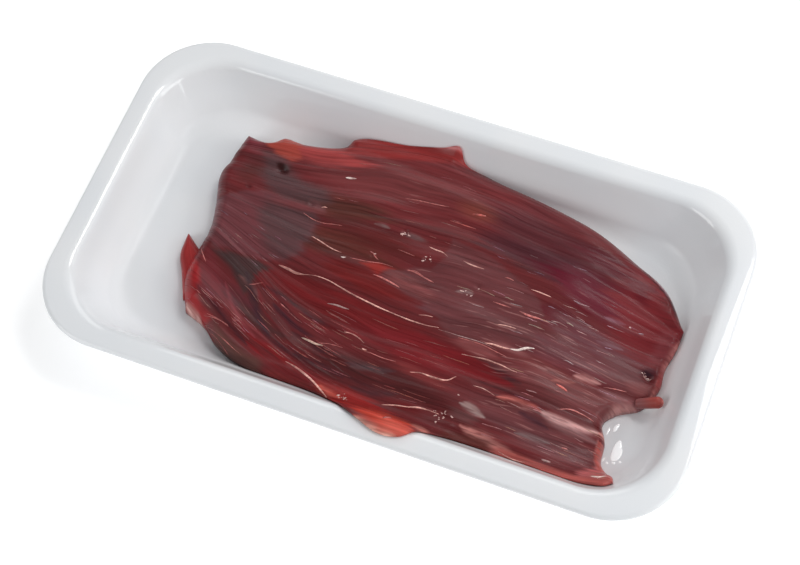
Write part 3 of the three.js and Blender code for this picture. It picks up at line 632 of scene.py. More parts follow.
def inset_of(x, y):
    """How far in from the rim's edge a place lies, found by halving."""
    low = np.zeros_like(x)
    high = np.full_like(x, floor_inset + 1)
    for _ in range(HALVINGS):
        middle = (low + high) / 2
        inside = outline_distance(x, y, middle) < 0
        low = np.where(inside, middle, low)
        high = np.where(inside, high, middle)
    return low


def on_rim(inset):
    return 1 - smoothstep(inset, wall_top, wall_top + BEND_RADIUS)


def rest_height(x, y):
    inset = inset_of(x, y)
    return inner_height(inset) + REST_GAP + RIM_GAP * on_rim(inset)


def foam_height(x, y):
    return float(inner_height(inset_of(np.array([x]), np.array([y])))[0])


def tray_section():
    """Inset and height along the section, from the floor over the rim and back below."""
    down = -math.pi / 2
    up = math.pi / 2
    half = FOAM / 2
    cove_z = FOAM + COVE_RADIUS
    bend_z = TRAY_HEIGHT - BEND_RADIUS
    arcs = [
        (floor_inset, cove_z, COVE_RADIUS, down, down - WALL_ANGLE),
        (RIM_FLAT, bend_z, BEND_RADIUS, up - WALL_ANGLE, up),
        (half, TRAY_HEIGHT - half, half, up, up + math.pi),
        (RIM_FLAT, bend_z, BEND_RADIUS - FOAM, up, up - WALL_ANGLE),
        (floor_inset, cove_z, COVE_RADIUS + FOAM, down - WALL_ANGLE, down),
    ]
    return [(inset + radius * math.cos(angle), z + radius * math.sin(angle))
            for inset, z, radius, start, end in arcs
            for angle in np.linspace(start, end, ARC_STEPS + 1)]


def tray_ring(inset):
    """A rounded rectangle, counter-clockwise from the right side's far end."""
    r = float(corner_radius(inset))
    cx = TRAY_LENGTH / 2 - inset - r
    cy = TRAY_WIDTH / 2 - inset - r
    centres = [(cx, cy), (-cx, cy), (-cx, -cy), (cx, -cy)]
    ring = []
    for corner, (x, y) in enumerate(centres):
        for angle in np.linspace(0, math.pi / 2, CORNER_STEPS + 1) + corner * math.pi / 2:
            ring.append((x + r * math.cos(angle), y + r * math.sin(angle)))
        nx, ny = centres[(corner + 1) % 4]
        ex, ey = ring[-1]
        for k in range(1, SIDE_STEPS):
            ring.append((ex + (nx - x) * k / SIDE_STEPS, ey + (ny - y) * k / SIDE_STEPS))
    return np.array(ring)


# Meshes

def new_object(name, points, faces, material):
    """A smooth-shaded piece from millimetre points, riding on the part's root."""
    mesh = bpy.data.meshes.new(name)
    mesh.from_pydata((np.asarray(points) * MM).tolist(), [], faces)
    mesh.polygons.foreach_set("use_smooth", [True] * len(mesh.polygons))
    mesh.materials.append(material)
    made = bpy.data.objects.new(name, mesh)
    bpy.context.collection.objects.link(made)
    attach(made, "root")
    return made


def ring_faces(rings, sides, first=0):
    """Quads between closed rings of points, numbered ring by ring from first."""
    faces = []
    for ring in range(rings - 1):
        a = first + ring * sides
        b = a + sides
        for k in range(sides):
            n = (k + 1) % sides
            faces.append((a + k, a + n, b + n, b + k))
    return faces


def make_tray(material):
    """Rings along the section, closed over the floor and under the base by shrinking copies."""
    rings = []
    for inset, z in tray_section():
        ring = tray_ring(inset)
        rings.append(np.column_stack([ring, np.full(len(ring), z)]))
    shares = np.linspace(0, 1, FLOOR_RINGS + 1)[1:-1]
    inner = [rings[0] * (s, s, 1) for s in shares]
    outer = [rings[-1] * (s, s, 1) for s in shares[::-1]]
    rings = inner + rings + outer
    size = len(rings[0])
    points = [*np.concatenate(rings), (0, 0, FOAM), (0, 0, 0)]
    faces = [(a, d, c, b) for a, b, c, d in ring_faces(len(rings), size)]
    floor_middle, base_middle = len(points) - 2, len(points) - 1
    last = (len(rings) - 1) * size
    for i in range(size):
        k = (i + 1) % size
        faces += [(floor_middle, i, k), (base_middle, last + k, last + i)]
    made = new_object("tray_foam", points, faces, material)
    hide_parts("tray")


# Curves and paths

def smooth_curve(points):
    """A function from the share of the way along to the place on a centripetal Catmull-Rom curve."""
    p = np.array(points, float)
    p = np.vstack([2 * p[0] - p[1], p, 2 * p[-1] - p[-2]])
    dense = []
    for i in range(1, len(p) - 2):
        x0, x1, x2, x3 = p[i - 1 : i + 3]
        d0, d1, d2 = (math.sqrt(np.linalg.norm(b - a)) for a, b in ((x0, x1), (x1, x2), (x2, x3)))
        t1 = ((x1 - x0) / d0 - (x2 - x0) / (d0 + d1) + (x2 - x1) / d1) * d1
        t2 = ((x2 - x1) / d1 - (x3 - x1) / (d1 + d2) + (x3 - x2) / d2) * d1
        t = np.linspace(0, 1, CURVE_STEPS, endpoint=False)[:, None]
        c2 = -3 * x1 + 3 * x2 - 2 * t1 - t2
        c3 = 2 * x1 - 2 * x2 + t1 + t2
        dense.append(x1 + t1 * t + c2 * t**2 + c3 * t**3)
    dense = np.vstack([*dense, p[-2]])
    run = np.concatenate([[0], np.cumsum(np.linalg.norm(np.diff(dense, axis=0), axis=1))])

    def at(share):
        return np.stack([np.interp(share * run[-1], run, dense[:, k]) for k in (0, 1)], -1)

    return at


def nearest_on_path(path, x, y):
    """Distance to a path, the side (left is positive) and how far along, from 0 to 1."""
    best = np.full(x.shape, np.inf)
    side = np.ones(x.shape)
    along = np.zeros(x.shape)
    for i in range(len(path) - 1):
        (x0, y0), (x1, y1) = path[i], path[i + 1]
        dx, dy = x1 - x0, y1 - y0
        t = np.clip(((x - x0) * dx + (y - y0) * dy) / (dx * dx + dy * dy), 0, 1)
        distance = np.hypot(x - x0 - t * dx, y - y0 - t * dy)
        nearer = distance < best
        best = np.where(nearer, distance, best)
        side = np.where(nearer, np.where(dx * (y - y0) - dy * (x - x0) >= 0, 1, -1), side)
        along = np.where(nearer, (i + t) / (len(path) - 1), along)
    return best, side, along


def end_taper(along):
    """Falls from 1 halfway along a path almost to nothing at its ends."""
    return np.sqrt(np.sin(math.pi * np.clip(along, PATH_END_FADE, 1 - PATH_END_FADE)))


def curve_at(path, x):
    """Height of a smooth curve through a path's points, where x lies."""
    px, py = np.array(path, float).T
    slope = np.gradient(py, 1.0) / np.gradient(px, 1.0)
    i = np.clip(np.searchsorted(px, x) - 1, 0, len(px) - 2)
    run = px[i + 1] - px[i]
    t = np.clip((x - px[i]) / run, 0, 1)
    rise = (1 + 2 * t) * (1 - t) ** 2 * py[i] + t * t * (3 - 2 * t) * py[i + 1]
    return rise + run * (t * (1 - t) ** 2 * slope[i] - t * t * (1 - t) * slope[i + 1])


def flow_level(x, y, flow):
    """Level across the flow lines, in millimetres from the near edge."""
    lines = [curve_at(path, x) for _, path in flow]
    level = np.zeros(x.shape)
    for k in range(len(flow) - 1):
        start, end = flow[k][0], flow[k + 1][0]
        share = (y - lines[k]) / (lines[k + 1] - lines[k])
        level = np.where((y > lines[k]) | (k == 0), between(start, end, share), level)
    return level


def flow_y(x, level):
    """Where across the slab a fibre level lies at x."""
    places = [place for place, _ in FIBRE_LINES]
    return np.array([np.interp(v, places, [float(curve_at(path, u)) for _, path in FIBRE_LINES])
                     for u, v in zip(x, level)])


# The slab's relief

def fold_relief(x, y):
    height = np.zeros(x.shape)
    for kind, rise, width, reach, path in FOLDS:
        distance, side, along = nearest_on_path(path, x, y)
        fade = end_taper(along)
        bell = np.exp(-((distance / width) ** 2))
        if kind == "groove":
            height -= rise * bell * fade
        elif kind == "ridge":
            height += rise * bell * fade
        else:
            over = side * distance / width
            drop = 0.5 * (np.tanh(over) - 1) * np.exp(-((distance / reach) ** 2))
            lip = STEP_LIP * np.exp(-((over - STEP_LIP_AT) ** 2))
            height += rise * (drop + lip) * fade
    return height


def wave_relief(x, level):
    height = np.zeros(x.shape)
    for spacing, rise, wander, turn, shift in WAVES:
        bend = wander * np.sin(2 * math.pi * (x / turn + shift))
        swell = 1 + WAVE_SWELL * np.sin(2 * math.pi * (x / SWELL_ALONG + level / SWELL_ACROSS + shift))
        height += rise * swell * np.sin(2 * math.pi * ((level + bend) / spacing + shift))
    return height


def fibre_relief(x, level):
    """Fine bundles along the fibres, which wander a little and lie flatter where they calm."""
    wander = WANDER * np.sin(x / WANDER_LENGTH + level / WANDER_WIDTH)
    level = level + wander + DRIFT_REACH * fibre_noise(x, level, *DRIFT)
    height = np.zeros(x.shape)
    for number, (length, width, rise) in enumerate(FIBRES):
        height += rise * (2 * fibre_noise(x, level, length, width, FIBRE_SEED + number) - 1)
    return height * (1 - CALMING * smoothstep(x, *CALM_X) * smoothstep(level, *CALM_LEVEL))


def pit_relief(x, y):
    height = np.zeros(x.shape)
    for px, py, radius, depth in PITS:
        away = np.hypot(x - px, (y - py) * PIT_FLATNESS) / radius
        height -= depth * np.exp(-(away**2))
    return height


def slab_top(x, y, a, b):
    """Height of the slab's top: a crowned level that bends up over the walls, with its relief."""
    crown = SLAB_CROWN * (1 - (2 * b - 1) ** 2) * (1 - (2 * a - 1) ** 4)
    level = SLAB_LEVEL + crown - END_THINNING * smoothstep(x, THIN_FROM, THIN_TO)
    on_wall = rest_height(x, y) + between(EDGE_THICKNESS, LAP_THICKNESS, on_rim(inset_of(x, y)))
    gap = level - on_wall
    smooth = 0.5 * (level + on_wall + np.sqrt(gap * gap + BLEND_SOFTNESS**2)) - 0.25 * BLEND_SOFTNESS
    waves = wave_relief(x, flow_level(x, y, FLOW_LINES))
    fibres = fibre_relief(x, flow_level(x, y, FIBRE_LINES))
    return smooth + waves + fold_relief(x, y) + fibres + pit_relief(x, y)


def slab_rounding(x):
    return between(TOP_ROUNDING, CUT_ROUNDING, smoothstep(x, CUT_FROM, CUT_TO))


def tongue_top(x, y, a, b):
    relief = TONGUE_RELIEF * fibre_relief(TONGUE_LONG * a, TONGUE_WIDE * b)
    return rest_height(x, y) + TONGUE_THICKNESS + relief


def tongue_rounding(x):
    return np.full(x.shape, TONGUE_ROUNDING)


# The slab's mesh

def crowded(steps):
    """Shares from 0 to 1 that lie closer together at both ends."""
    share = np.arange(steps + 1) / steps
    return share - EDGE_CROWDING * np.sin(2 * math.pi * share) / (2 * math.pi)


def patch_between(edges, a, b):
    """A Coons patch: the places inside four edge curves, at shares a along and b across."""
    near, far, left, right = (smooth_curve(edge) for edge in edges)
    p = near(a) * (1 - b)[..., None] + far(a) * b[..., None]
    p += left(b) * (1 - a)[..., None] + right(b) * a[..., None]
    p -= near(0.0) * ((1 - a) * (1 - b))[..., None] + near(1.0) * (a * (1 - b))[..., None]
    p -= far(0.0) * ((1 - a) * b)[..., None] + far(1.0) * (a * b)[..., None]
    return p[..., 0].ravel(), p[..., 1].ravel()


def nearest_outline(x, y, outline):
    best = np.full(len(x), np.inf)
    for u, v in outline:
        np.minimum(best, (x - u) ** 2 + (y - v) ** 2, out=best)
    return np.sqrt(best)


def rounded(away, radius):
    """A quarter circle's rise from 0 at the edge to 1 a radius inside it."""
    return np.sqrt(1 - (1 - np.minimum(away / radius, 1)) ** 2)


def soft_slab(edges, steps, rounding_at, top_of):
    """A soft slab inside four edge curves: points, quads, edge coordinates and distance to the outline."""
    along, across = steps
    a, b = np.meshgrid(crowded(along), crowded(across))
    x, y = patch_between(edges, a, b)
    rim = np.zeros(a.shape, bool)
    rim[[0, -1]] = True
    rim[:, [0, -1]] = True
    a, b, rim = a.ravel(), b.ravel(), rim.ravel()
    away = nearest_outline(x, y, np.column_stack([x, y])[rim])
    away[rim] = 0
    rest = rest_height(x, y)
    lip = LIP_SHARE * EDGE_THICKNESS
    top = np.maximum(top_of(x, y, a, b), rest + lip + THINNEST)
    upper = np.column_stack([x, y, between(rest + lip, top, rounded(away, rounding_at(x)))])
    under = np.column_stack([x, y, rest + lip * (1 - rounded(away, UNDER_ROUNDING))])
    grid = np.arange(len(x)).reshape(across + 1, along + 1)
    quads = np.stack([grid[:-1, :-1], grid[:-1, 1:], grid[1:, 1:], grid[1:, :-1]], -1).reshape(-1, 4)
    below = np.arange(len(x))
    below[~rim] = len(x) + np.arange((~rim).sum())
    faces = quads.tolist() + below[quads[:, ::-1]].tolist()
    points = np.vstack([upper, under[~rim]])
    share = np.column_stack([np.concatenate([v, v[~rim]]) for v in (a, b, away)])
    return points, faces, share


# The meat's colour

def linear(colour):
    """Eight-bit screen values as linear light."""
    c = np.array(colour, float) / 255
    return np.where(c <= 0.04045, c / 12.92, ((c + 0.055) / 1.055) ** 2.4)


def zone_distance(x, y, ellipse):
    """Distance from an ellipse's middle, 1 on its outline."""
    x0, y0, long, wide, turn = ellipse
    c, s = math.cos(math.radians(turn)), math.sin(math.radians(turn))
    dx, dy = x - x0, y - y0
    return np.hypot((dx * c + dy * s) / long, (dy * c - dx * s) / wide)


def patch_share(x, y, outline, softness):
    """How far inside a closed outline a point lies, from 0 to 1 across the softness."""
    closed = [*outline, outline[0]]
    inside = np.zeros(x.shape, bool)
    for (x0, y0), (x1, y1) in zip(closed, closed[1:]):
        crosses = (y0 > y) != (y1 > y)
        inside ^= crosses & (x < x0 + (x1 - x0) * (y - y0) / (y1 - y0 or 1))
    distance = nearest_on_path(closed, x, y)[0]
    return smoothstep(np.where(inside, distance, -distance), -softness, softness)


def stray(x, level, noises):
    """How far the zones' borders stray from their outlines."""
    return sum(reach * (fibre_noise(x, level, *feature) - 0.5) for reach, *feature in noises)


def paint(colour, share, tint):
    colour += (linear(tint) - colour) * share[:, None]


def paint_zones(colour, x, y, zones, shares=1.0, stray_x=0.0, stray_y=0.0):
    """Soft ellipses. The borders of long ones stray further."""
    for zone in zones:
        *ellipse, tint, strength, softness = (*zone, *ZONE_DEFAULTS[len(zone) - ZONE_LEAST:])
        reach = min(1.0, ellipse[2] / STRAY_FROM)
        distance = zone_distance(x + stray_x * reach, y + stray_y * reach, ellipse)
        paint(colour, strength * (1 - smoothstep(distance, 1 - softness, 1 + softness)) * shares, tint)


# Streaks painted along paths, among them painted shade along folds and a painted highlight
def paint_streaks(colour, x, y, shares):
    for width, tint, strength, path in STREAKS:
        distance, _, along = nearest_on_path(path, x, y)
        paint(colour, strength * np.exp(-((distance / (width * end_taper(along))) ** 2)) * shares, tint)


# Paints light and shade onto the slab's near side, and the thin skin on the left edge
def paint_edges(colour, x, y, away):
    for start, end, width, tint, strength in NEAR_SIDE_LIGHT_AND_SHADE:
        inside = smoothstep(x, start - SIDE_FADE, start + SIDE_FADE) * (y < NEAR_BELOW)
        inside *= 1 - smoothstep(x, end - SIDE_FADE, end + SIDE_FADE)
        paint(colour, strength * inside * (1 - smoothstep(away / width, *SIDE_BORDER)), tint)
    width, tint, strength = LEFT_SKIN
    inside = (x < LEFT_BELOW) * (y > LEFT_ABOVE)
    paint(colour, strength * inside * (1 - smoothstep(away / width, *SKIN_BORDER)), tint)


def meat_colour(x, y, level, away):
    """The meat's colour at each point, painted from broad zones to small spots, with painted light and
    shade in places.
    """
    colour = np.tile(linear(MEAT), (len(x), 1))
    stray_x = stray(x, level, STRAY_ALONG)
    stray_y = stray(x, level, STRAY_ACROSS)
    broken = smoothstep(fibre_noise(x, level, *BREAKS), *BREAK_RANGE)
    paint_zones(colour, x, y, ZONES, stray_x=stray_x, stray_y=stray_y)
    for tint, strength, softness, outline in PATCHES:
        px, py = x + PATCH_STRAY[0] * stray_x, y + PATCH_STRAY[1] * stray_y
        paint(colour, strength * patch_share(px, py, outline, softness), tint)
    paint_streaks(colour, x, y, between(STREAK_BREAKING, 1, broken))
    paint_zones(colour, x, y, SPOTS, between(SPOT_BREAKING, 1, broken))
    paint_edges(colour, x, y, away)
    return np.clip(colour - HAZE, DARKEST, 1)


# How much the pale fibres show, which are partly painted highlights
def pale_amount(x, y):
    amount = np.zeros(x.shape)
    for *ellipse, strength in SILVER_AND_SHEEN:
        share = 1 - smoothstep(zone_distance(x, y, ellipse), *SILVER_AND_SHEEN_BORDER)
        amount = np.maximum(amount, strength * share)
    return amount


def set_tint(mesh, colour):
    rgba = np.column_stack([colour, np.ones(len(colour))])
    mesh.color_attributes.new("tint", "FLOAT_COLOR", "POINT").data.foreach_set("color", rgba.ravel())


def set_fibre_map(piece, x, level, colour, pale):
    """The fibre coordinates as a UV map, and the tint and pale amount as attributes."""
    mesh = piece.data
    corner = np.empty(len(mesh.loops), int)
    mesh.loops.foreach_get("vertex_index", corner)
    layer = mesh.uv_layers.new(name="fibre")
    layer.data.foreach_set("uv", (np.column_stack([x, level]) / MAP_UNIT)[corner].ravel())
    set_tint(mesh, colour)
    mesh.attributes.new("pale", "FLOAT", "POINT").data.foreach_set("value", pale)


# The meat's pieces

def make_slab(material):
    edges = (NEAR_EDGE, FAR_EDGE, LEFT_EDGE, RIGHT_EDGE)
    points, faces, share = soft_slab(edges, SLAB_STEPS, slab_rounding, slab_top)
    made = new_object("meat_slab", points, faces, material)
    x, y = points[:, 0], points[:, 1]
    level = flow_level(x, y, FIBRE_LINES)
    set_fibre_map(made, x, level, meat_colour(x, y, level, share[:, 2]), pale_amount(x, y))
    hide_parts("meat")
    return made


def make_tongue(material):
    ends = ([TONGUE_INNER[k], TONGUE_OUTER[k]] for k in (0, -1))
    edges = (TONGUE_INNER, TONGUE_OUTER, *ends)
    points, faces, share = soft_slab(edges, TONGUE_STEPS, tongue_rounding, tongue_top)
    made = new_object("meat_tongue", points, [face[::-1] for face in faces], material)
    red = np.tile(linear(TONGUE_RED), (len(points), 1))
    pale = np.full(len(points), END_PALE)
    set_fibre_map(made, TONGUE_LONG * share[:, 0], TONGUE_WIDE * share[:, 1], red, pale)


def swept_tube(path, radii, sides, flatness):
    """Points and faces of a tube along a path, flatter than wide, with its ends closed."""
    path = np.asarray(path, float)
    points = []
    for i, (centre, radius) in enumerate(zip(path, radii)):
        ahead = path[min(i + 1, len(path) - 1)] - path[max(i - 1, 0)]
        ahead = ahead / np.linalg.norm(ahead)
        across = np.cross(ahead, (0, 0, 1))
        across = across / np.linalg.norm(across)
        up = flatness * np.cross(across, ahead)
        for angle in np.linspace(0, 2 * math.pi, sides, endpoint=False):
            points.append(centre + radius * (math.cos(angle) * across + math.sin(angle) * up))
    faces = ring_faces(len(path), sides)
    faces.append(tuple(range(sides))[::-1])
    faces.append(tuple(range((len(path) - 1) * sides, len(path) * sides)))
    return np.array(points), faces


def make_curl(material):
    """The rolled tip: a tube that widens along its length and ends in a dome."""
    start, end = np.array(CURL_FROM), np.array(CURL_TO)
    ahead = (end - start) / np.linalg.norm(end - start)
    shares = np.linspace(0, 1, CURL_STEPS)
    angles = np.linspace(*CURL_DOME)
    path = [between(start, end, s) for s in shares]
    path += [end + ahead * CURL_RADIUS * math.sin(t) for t in angles]
    radii = [CURL_RADIUS * between(CURL_NARROW, 1, s) for s in shares]
    radii += [CURL_RADIUS * math.cos(t) for t in angles]
    points, faces = swept_tube(path, radii, CURL_SIDES, 1.0)
    made = new_object("meat_curl", points, faces, material)
    along = np.repeat(np.linspace(0, CURL_LONG, len(path)), CURL_SIDES)
    around = np.tile(np.linspace(0, CURL_AROUND, CURL_SIDES), len(path))
    body = between(linear(CURL_ROOT), linear(CURL_RED), smoothstep(along, *CURL_REDDENS)[:, None])
    colour = between(body, linear(CURL_CENTRE), smoothstep(along, *CURL_TIP)[:, None])
    set_fibre_map(made, along, around, colour, np.full(len(points), END_PALE))


def surface_of(piece):
    mesh = piece.data
    points = [v.co.copy() for v in mesh.vertices]
    return BVHTree.FromPolygons(points, [tuple(p.vertices) for p in mesh.polygons])


def drop_onto(surface, x, y):
    """The highest surface point under a place, in millimetres, or nothing beside the surface."""
    hit = surface.ray_cast(Vector((x * MM, y * MM, RAY_FROM)), Vector((0, 0, -1)))
    return hit[0].z / MM if hit[0] else None


def thread_strands():
    """Short seeded threads along the fibres, in the form of the strands."""
    chance = np.random.default_rng(SEED + THREAD_SEED)
    threads = []
    for count, across, levels, lengths, widths, colour in THREADS:
        for _ in range(count):
            length = chance.uniform(*lengths)
            start = chance.uniform(*across)
            x = np.linspace(start, start + length, THREAD_POINTS)
            level = chance.uniform(*levels)
            level = level + np.cumsum(chance.uniform(-THREAD_WANDER, THREAD_WANDER, THREAD_POINTS))
            shade = tuple(c * chance.uniform(*THREAD_SHADES) for c in colour)
            threads.append((chance.uniform(*widths), shade, list(zip(x, flow_y(x, level)))))
    return threads


def strand_line(path, surface):
    length = sum(math.dist(p, q) for p, q in zip(path, path[1:]))
    shares = np.linspace(0, 1, max(STRAND_LEAST, int(length / STRAND_STEP)))
    line = [(x, y, drop_onto(surface, x, y)) for x, y in smooth_curve(path)(shares)]
    return [spot for spot in line if spot[2] is not None]


def strand_noise(count, number, length, apart, seed):
    return value_noise(np.arange(count) / length, np.full(count, apart * number), seed)


# Strands and painted glints, as flat tubes that lie on the slab
def make_strands_and_glints(material, surface):
    points = []
    faces = []
    colours = []
    for number, (width, colour, path) in enumerate(STRANDS_AND_GLINTS + thread_strands()):
        line = strand_line(path, surface)
        count = len(line)
        taper = np.sin(math.pi * np.linspace(STRAND_END, 1 - STRAND_END, count)) ** STRAND_POINTING
        uneven = between(*STRAND_UNEVEN, strand_noise(count, number, *UNEVEN_NOISE))
        radii = 0.5 * width * taper * uneven
        centre = [(x, y, z + STRAND_LIFT * r) for (x, y, z), r in zip(line, radii)]
        made, tube = swept_tube(centre, radii, STRAND_SIDES, STRAND_FLATNESS)
        faces += [tuple(k + len(points) for k in face) for face in tube]
        points += made.tolist()
        fading = smoothstep(strand_noise(count, number, *FADE_NOISE), *FADE_RANGE)
        shades = between(linear(colour), linear(STRAND_FADE), STRAND_FADING * fading[:, None])
        colours += np.repeat(shades, STRAND_SIDES, axis=0).tolist()
    made = new_object("meat_strands_and_glints", points, faces, material)
    set_tint(made.data, np.array(colours))


# Drops

def dome_points(spot, rise, height_at, seed):
    """Rings of a low round-edged drop over an uneven ellipse, from its foot to its top."""
    x0, y0, long, wide, turn = spot
    c, s = math.cos(math.radians(turn)), math.sin(math.radians(turn))
    points = []
    for ring in range(DOME_RINGS + 1):
        share = 1 - ring / DOME_RINGS
        lift = rise * math.sqrt(1 - share**2) - DOME_SINK
        for k in range(DOME_SIDES if ring < DOME_RINGS else 1):
            angle = 2 * math.pi * k / DOME_SIDES
            lobes = 1 + sum(depth * math.sin(n * angle + shift * seed) for depth, n, shift in DOME_LOBES)
            u = share * lobes * long * math.cos(angle)
            v = share * lobes * wide * math.sin(angle)
            x, y = x0 + u * c - v * s, y0 + u * s + v * c
            points.append((x, y, height_at(x, y) + lift))
    return points


def dome_faces(first):
    faces = ring_faces(DOME_RINGS, DOME_SIDES, first)
    top = first + DOME_RINGS * DOME_SIDES
    last = top - DOME_SIDES
    faces += [(last + k, last + (k + 1) % DOME_SIDES, top) for k in range(DOME_SIDES)]
    faces.append(tuple(first + k for k in reversed(range(DOME_SIDES))))
    return faces


def glint_drops():
    chance = np.random.default_rng(SEED + GLINT_SEED)
    drops = []
    for x, y, reach, count in GLINTS:
        for _ in range(count):
            u, v = reach * chance.normal(0, GLINT_SPREAD, 2)
            size = chance.uniform(*GLINT_SIZE)
            long = size * chance.uniform(*GLINT_STRETCH)
            drops.append((x + u, y + GLINT_FLATNESS * v, long, size, chance.uniform(*GLINT_TURN)))
    return drops


def make_drops(name, spots, rise, height_at, material):
    """Low drops in one piece. Those wider than a millimetre either side rise no further."""
    points = []
    faces = []
    for seed, spot in enumerate(spots):
        faces += dome_faces(len(points))
        points += dome_points(spot, rise * min(1.0, spot[3]), height_at, seed)
    new_object(name, points, faces, material)


def height_over(surface):
    """A function for the height of the meat at a place, or of the foam beside it."""
    def at(x, y):
        return drop_onto(surface, x, y) or foam_height(x, y)

    return at


# Shader nodes. A helper adds its node to the tree that its first socket belongs to.

def set_inputs(node, inputs):
    """Links or sets a node's inputs, by name or number."""
    for key, value in inputs.items():
        if isinstance(value, bpy.types.NodeSocket):
            node.id_data.links.new(value, node.inputs[key])
        else:
            node.inputs[key].default_value = value


def add(tree, kind, inputs=None, output=0, **settings):
    made = tree.nodes.new("ShaderNode" + kind)
    for key, value in settings.items():
        setattr(made, key, value)
    set_inputs(made, inputs or {})
    return made.outputs[output]


def noise(place, scale, detail=1.0, roughness=0.5):
    inputs = {"Vector": place, "Scale": scale, "Detail": detail, "Roughness": roughness}
    return add(place.id_data, "TexNoise", inputs)


def stretched_noise(place, along, across, detail, roughness=0.55):
    """Noise with features MAP_UNIT / along long and MAP_UNIT / across wide."""
    scaled = add(place.id_data, "VectorMath", {0: place, 1: (along, across, 1)}, operation="MULTIPLY")
    return noise(scaled, 1.0, detail, roughness)


def spread(value, low, high, to_low, to_high):
    inputs = {"Value": value, "From Min": low, "From Max": high, "To Min": to_low, "To Max": to_high}
    return add(value.id_data, "MapRange", inputs, interpolation_type="SMOOTHSTEP")


def vary(value, low, high):
    """A noise's usual range spread from low to high."""
    return spread(value, *NOISE_RANGE, low, high)


def scaled_colour(colour, factor):
    return add(colour.id_data, "VectorMath", {0: colour, "Scale": factor}, operation="SCALE")


def mixed(factor, first, second):
    """A mix of two colours, which the node takes in inputs 6 and 7 and gives in output 2."""
    return add(factor.id_data, "Mix", {0: factor, 6: first, 7: second}, 2, data_type="RGBA")


def arithmetic(operation, value, *others):
    return add(value.id_data, "Math", dict(enumerate((value, *others))), operation=operation)


def bump(height, strength, distance, **more):
    inputs = {"Height": height, "Strength": strength, "Distance": distance, **more}
    return add(height.id_data, "Bump", inputs)


def new_material(name, look, *values):
    """A material whose shader takes the inputs that its look gives."""
    material = bpy.data.materials.new(name)
    material.use_nodes = True
    tree = material.node_tree
    set_inputs(tree.nodes["Principled BSDF"], look(tree, *values))
    return material


# The looks of the materials

def bent_fibres(fibre):
    bend = spread(noise(fibre, BEND_SCALE), *BEND_RANGE, -BEND_REACH, BEND_REACH)
    shift = add(fibre.id_data, "CombineXYZ", {"Y": bend})
    return add(fibre.id_data, "VectorMath", {0: fibre, 1: shift}, operation="ADD")


def fibre_strength(fibre):
    """How strongly the fibres show: less where they calm."""
    x, level = (add(fibre.id_data, "SeparateXYZ", {"Vector": fibre}, axis) for axis in (0, 1))
    right = spread(x, *(edge / MAP_UNIT for edge in CALM_X), 0, 1)
    upper = spread(level, *(edge / MAP_UNIT for edge in CALM_LEVEL), 0, CALMING)
    return arithmetic("MULTIPLY_ADD", arithmetic("MULTIPLY", right, upper), -1.0, 1.0)


def meat_look(tree):
    """The painted tint, darker and lighter along the fibres, with a wet sheen and pale fibres that are
    partly painted highlights.
    """
    fibre = add(tree, "UVMap", uv_map="fibre")
    place = bent_fibres(fibre)
    patchy, bundle, fine, hair, pale_sheen_streak = (stretched_noise(place, *row) for row in FIBRE_NOISE)
    amount = spread(patchy, *PATCHY_RANGE, *FINE_GRAIN)
    grain = arithmetic("MULTIPLY", vary(fine, -1, 1), amount)
    grain = arithmetic("ADD", grain, vary(bundle, -BUNDLE_GRAIN, BUNDLE_GRAIN))
    grain = arithmetic("ADD", grain, vary(hair, -HAIR_GRAIN, HAIR_GRAIN))
    grain = arithmetic("MULTIPLY_ADD", grain, fibre_strength(fibre), 1.0)
    tint = add(tree, "Attribute", output="Color", attribute_name="tint")
    pale = add(tree, "Attribute", output="Fac", attribute_name="pale")
    shown = spread(arithmetic("MULTIPLY_ADD", pale, PALE_LIFT, pale_sheen_streak), *PALE_RANGE, 0, 1)
    share = arithmetic("MULTIPLY", shown, spread(pale, 0, 1, *PALE_SHARE))
    relief = arithmetic("MULTIPLY_ADD", fine, FINE_RELIEF, bundle)
    relief = arithmetic("MULTIPLY_ADD", hair, HAIR_RELIEF, relief)
    return {
        "Base Color": mixed(share, scaled_colour(tint, grain), PALE_FIBRE_AND_SHEEN),
        "Roughness": vary(fine, 0.26, 0.4),
        "Normal": bump(relief, 0.4, 0.0005),
        "Subsurface Weight": 0.1,
        "Subsurface Radius": (1.0, 0.25, 0.2),
        "Subsurface Scale": 0.002,
        "Specular IOR Level": 0.13,
        "Coat Weight": 0.045,
        "Coat Roughness": 0.12,
    }


def strand_and_glint_look(tree):
    grain = noise(add(tree, "TexCoord", output="Object"), 900.0, 2.0)
    tint = add(tree, "Attribute", output="Color", attribute_name="tint")
    return {
        "Base Color": scaled_colour(tint, vary(grain, 0.6, 1.15)),
        "Normal": bump(grain, 0.3, 0.0002),
        "Roughness": 0.3,
        "Coat Weight": 0.3,
    }


# Wet gloss, with a colour and glow that paint a highlight
def wet_glint_look(tree, colour, glow):
    ripple = noise(add(tree, "TexCoord", output="Object"), 300.0)
    return {
        "Base Color": (*linear(colour), 1),
        "Roughness": vary(ripple, 0.03, 0.08),
        "Normal": bump(ripple, 0.15, 0.0003),
        "Emission Color": (1, 1, 1, 1),
        "Emission Strength": glow,
        "Coat Weight": 1.0,
        "Coat Roughness": 0.03,
    }


def foam_look(tree):
    """White foam with fine cells, glossier on its rim than on its floor."""
    place = add(tree, "TexCoord", output="Object")
    sag = noise(place, 30.0)
    cells = add(tree, "TexVoronoi", {"Vector": place, "Scale": 900.0}, "Distance")
    height = add(tree, "SeparateXYZ", {"Vector": place}, 2)
    return {
        "Base Color": mixed(vary(sag, 0.0, 1.0), FOAM_SHADE, FOAM_WHITE),
        "Roughness": vary(sag, 0.3, 0.4),
        "Normal": bump(cells, 0.04, 0.0003, Normal=bump(sag, 0.06, 0.002)),
        "Coat Weight": spread(height, *GLOSS_HEIGHT, 0.05, 1),
        "Coat Roughness": 0.06,
        "Specular IOR Level": 0.3,
    }


# The stage, lights and camera

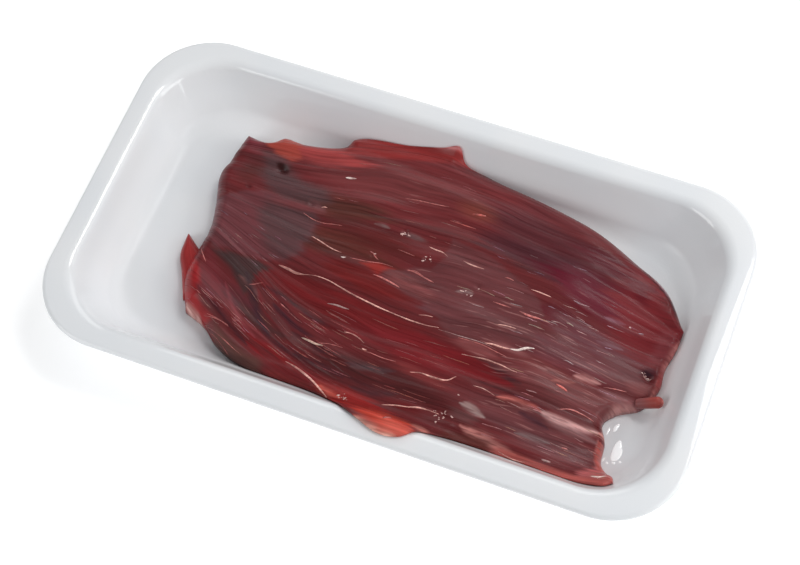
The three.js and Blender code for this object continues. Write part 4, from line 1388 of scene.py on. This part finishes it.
def make_floor():
    corners = [(-1, -1), (1, -1), (1, 1), (-1, 1)]
    mesh = bpy.data.meshes.new("floor")
    mesh.from_pydata([(x * FLOOR_REACH, y * FLOOR_REACH, 0) for x, y in corners], [], [(0, 1, 2, 3)])
    mesh.materials.append(new_material("floor", lambda tree: FLOOR_LOOK))
    floor = bpy.data.objects.new("floor", mesh)
    floor.location.z = -FLOOR_DROP
    bpy.context.collection.objects.link(floor)


def add_lights():
    for name, place, size, power in LIGHTS:
        light = bpy.data.lights.new(name, "AREA")
        light.shape = "RECTANGLE"
        light.size, light.size_y = size
        light.energy = power
        lamp = bpy.data.objects.new(name, light)
        lamp.location = place
        lamp.rotation_euler = (-Vector(place)).to_track_quat("-Z", "Y").to_euler()
        bpy.context.collection.objects.link(lamp)
    world = bpy.data.worlds.new("studio")
    world.use_nodes = True
    set_inputs(world.node_tree.nodes["Background"], {"Color": SKY_COLOUR, "Strength": SKY_STRENGTH})
    bpy.context.scene.world = world


def add_camera():
    data = bpy.data.cameras.new("camera")
    data.lens = CAMERA_LENS
    data.sensor_width = CAMERA_SENSOR
    data.clip_start = CAMERA_CLIP
    camera = bpy.data.objects.new("camera", data)
    aim = (Vector(CAMERA_AIM) - Vector(CAMERA_AT)).to_track_quat("-Z", "Y")
    roll = Quaternion((0, 0, 1), CAMERA_ROLL)
    camera.matrix_world = Matrix.Translation(CAMERA_AT) @ (aim @ roll).to_matrix().to_4x4()
    bpy.context.collection.objects.link(camera)
    bpy.context.scene.camera = camera


raw_beef = new_material("raw_beef", meat_look)
make_tray(new_material("foam", foam_look))
slab_surface = surface_of(make_slab(raw_beef))
make_tongue(raw_beef)
make_curl(raw_beef)
make_strands_and_glints(new_material("strand_and_glint", strand_and_glint_look), slab_surface)
wet_meat_glint = new_material("wet_meat_glint", wet_glint_look, *WET_MEAT_GLINT)
make_drops("meat_drops", DROPS + glint_drops(), DROP_RISE, height_over(slab_surface), wet_meat_glint)
make_drops("tray_juice_glint", PUDDLES, PUDDLE_RISE, foam_height, new_material("juice_glint", wet_glint_look, *JUICE_GLINT))
make_floor()
add_lights()
add_camera()
bpy.context.scene.view_settings.view_transform = "Standard"
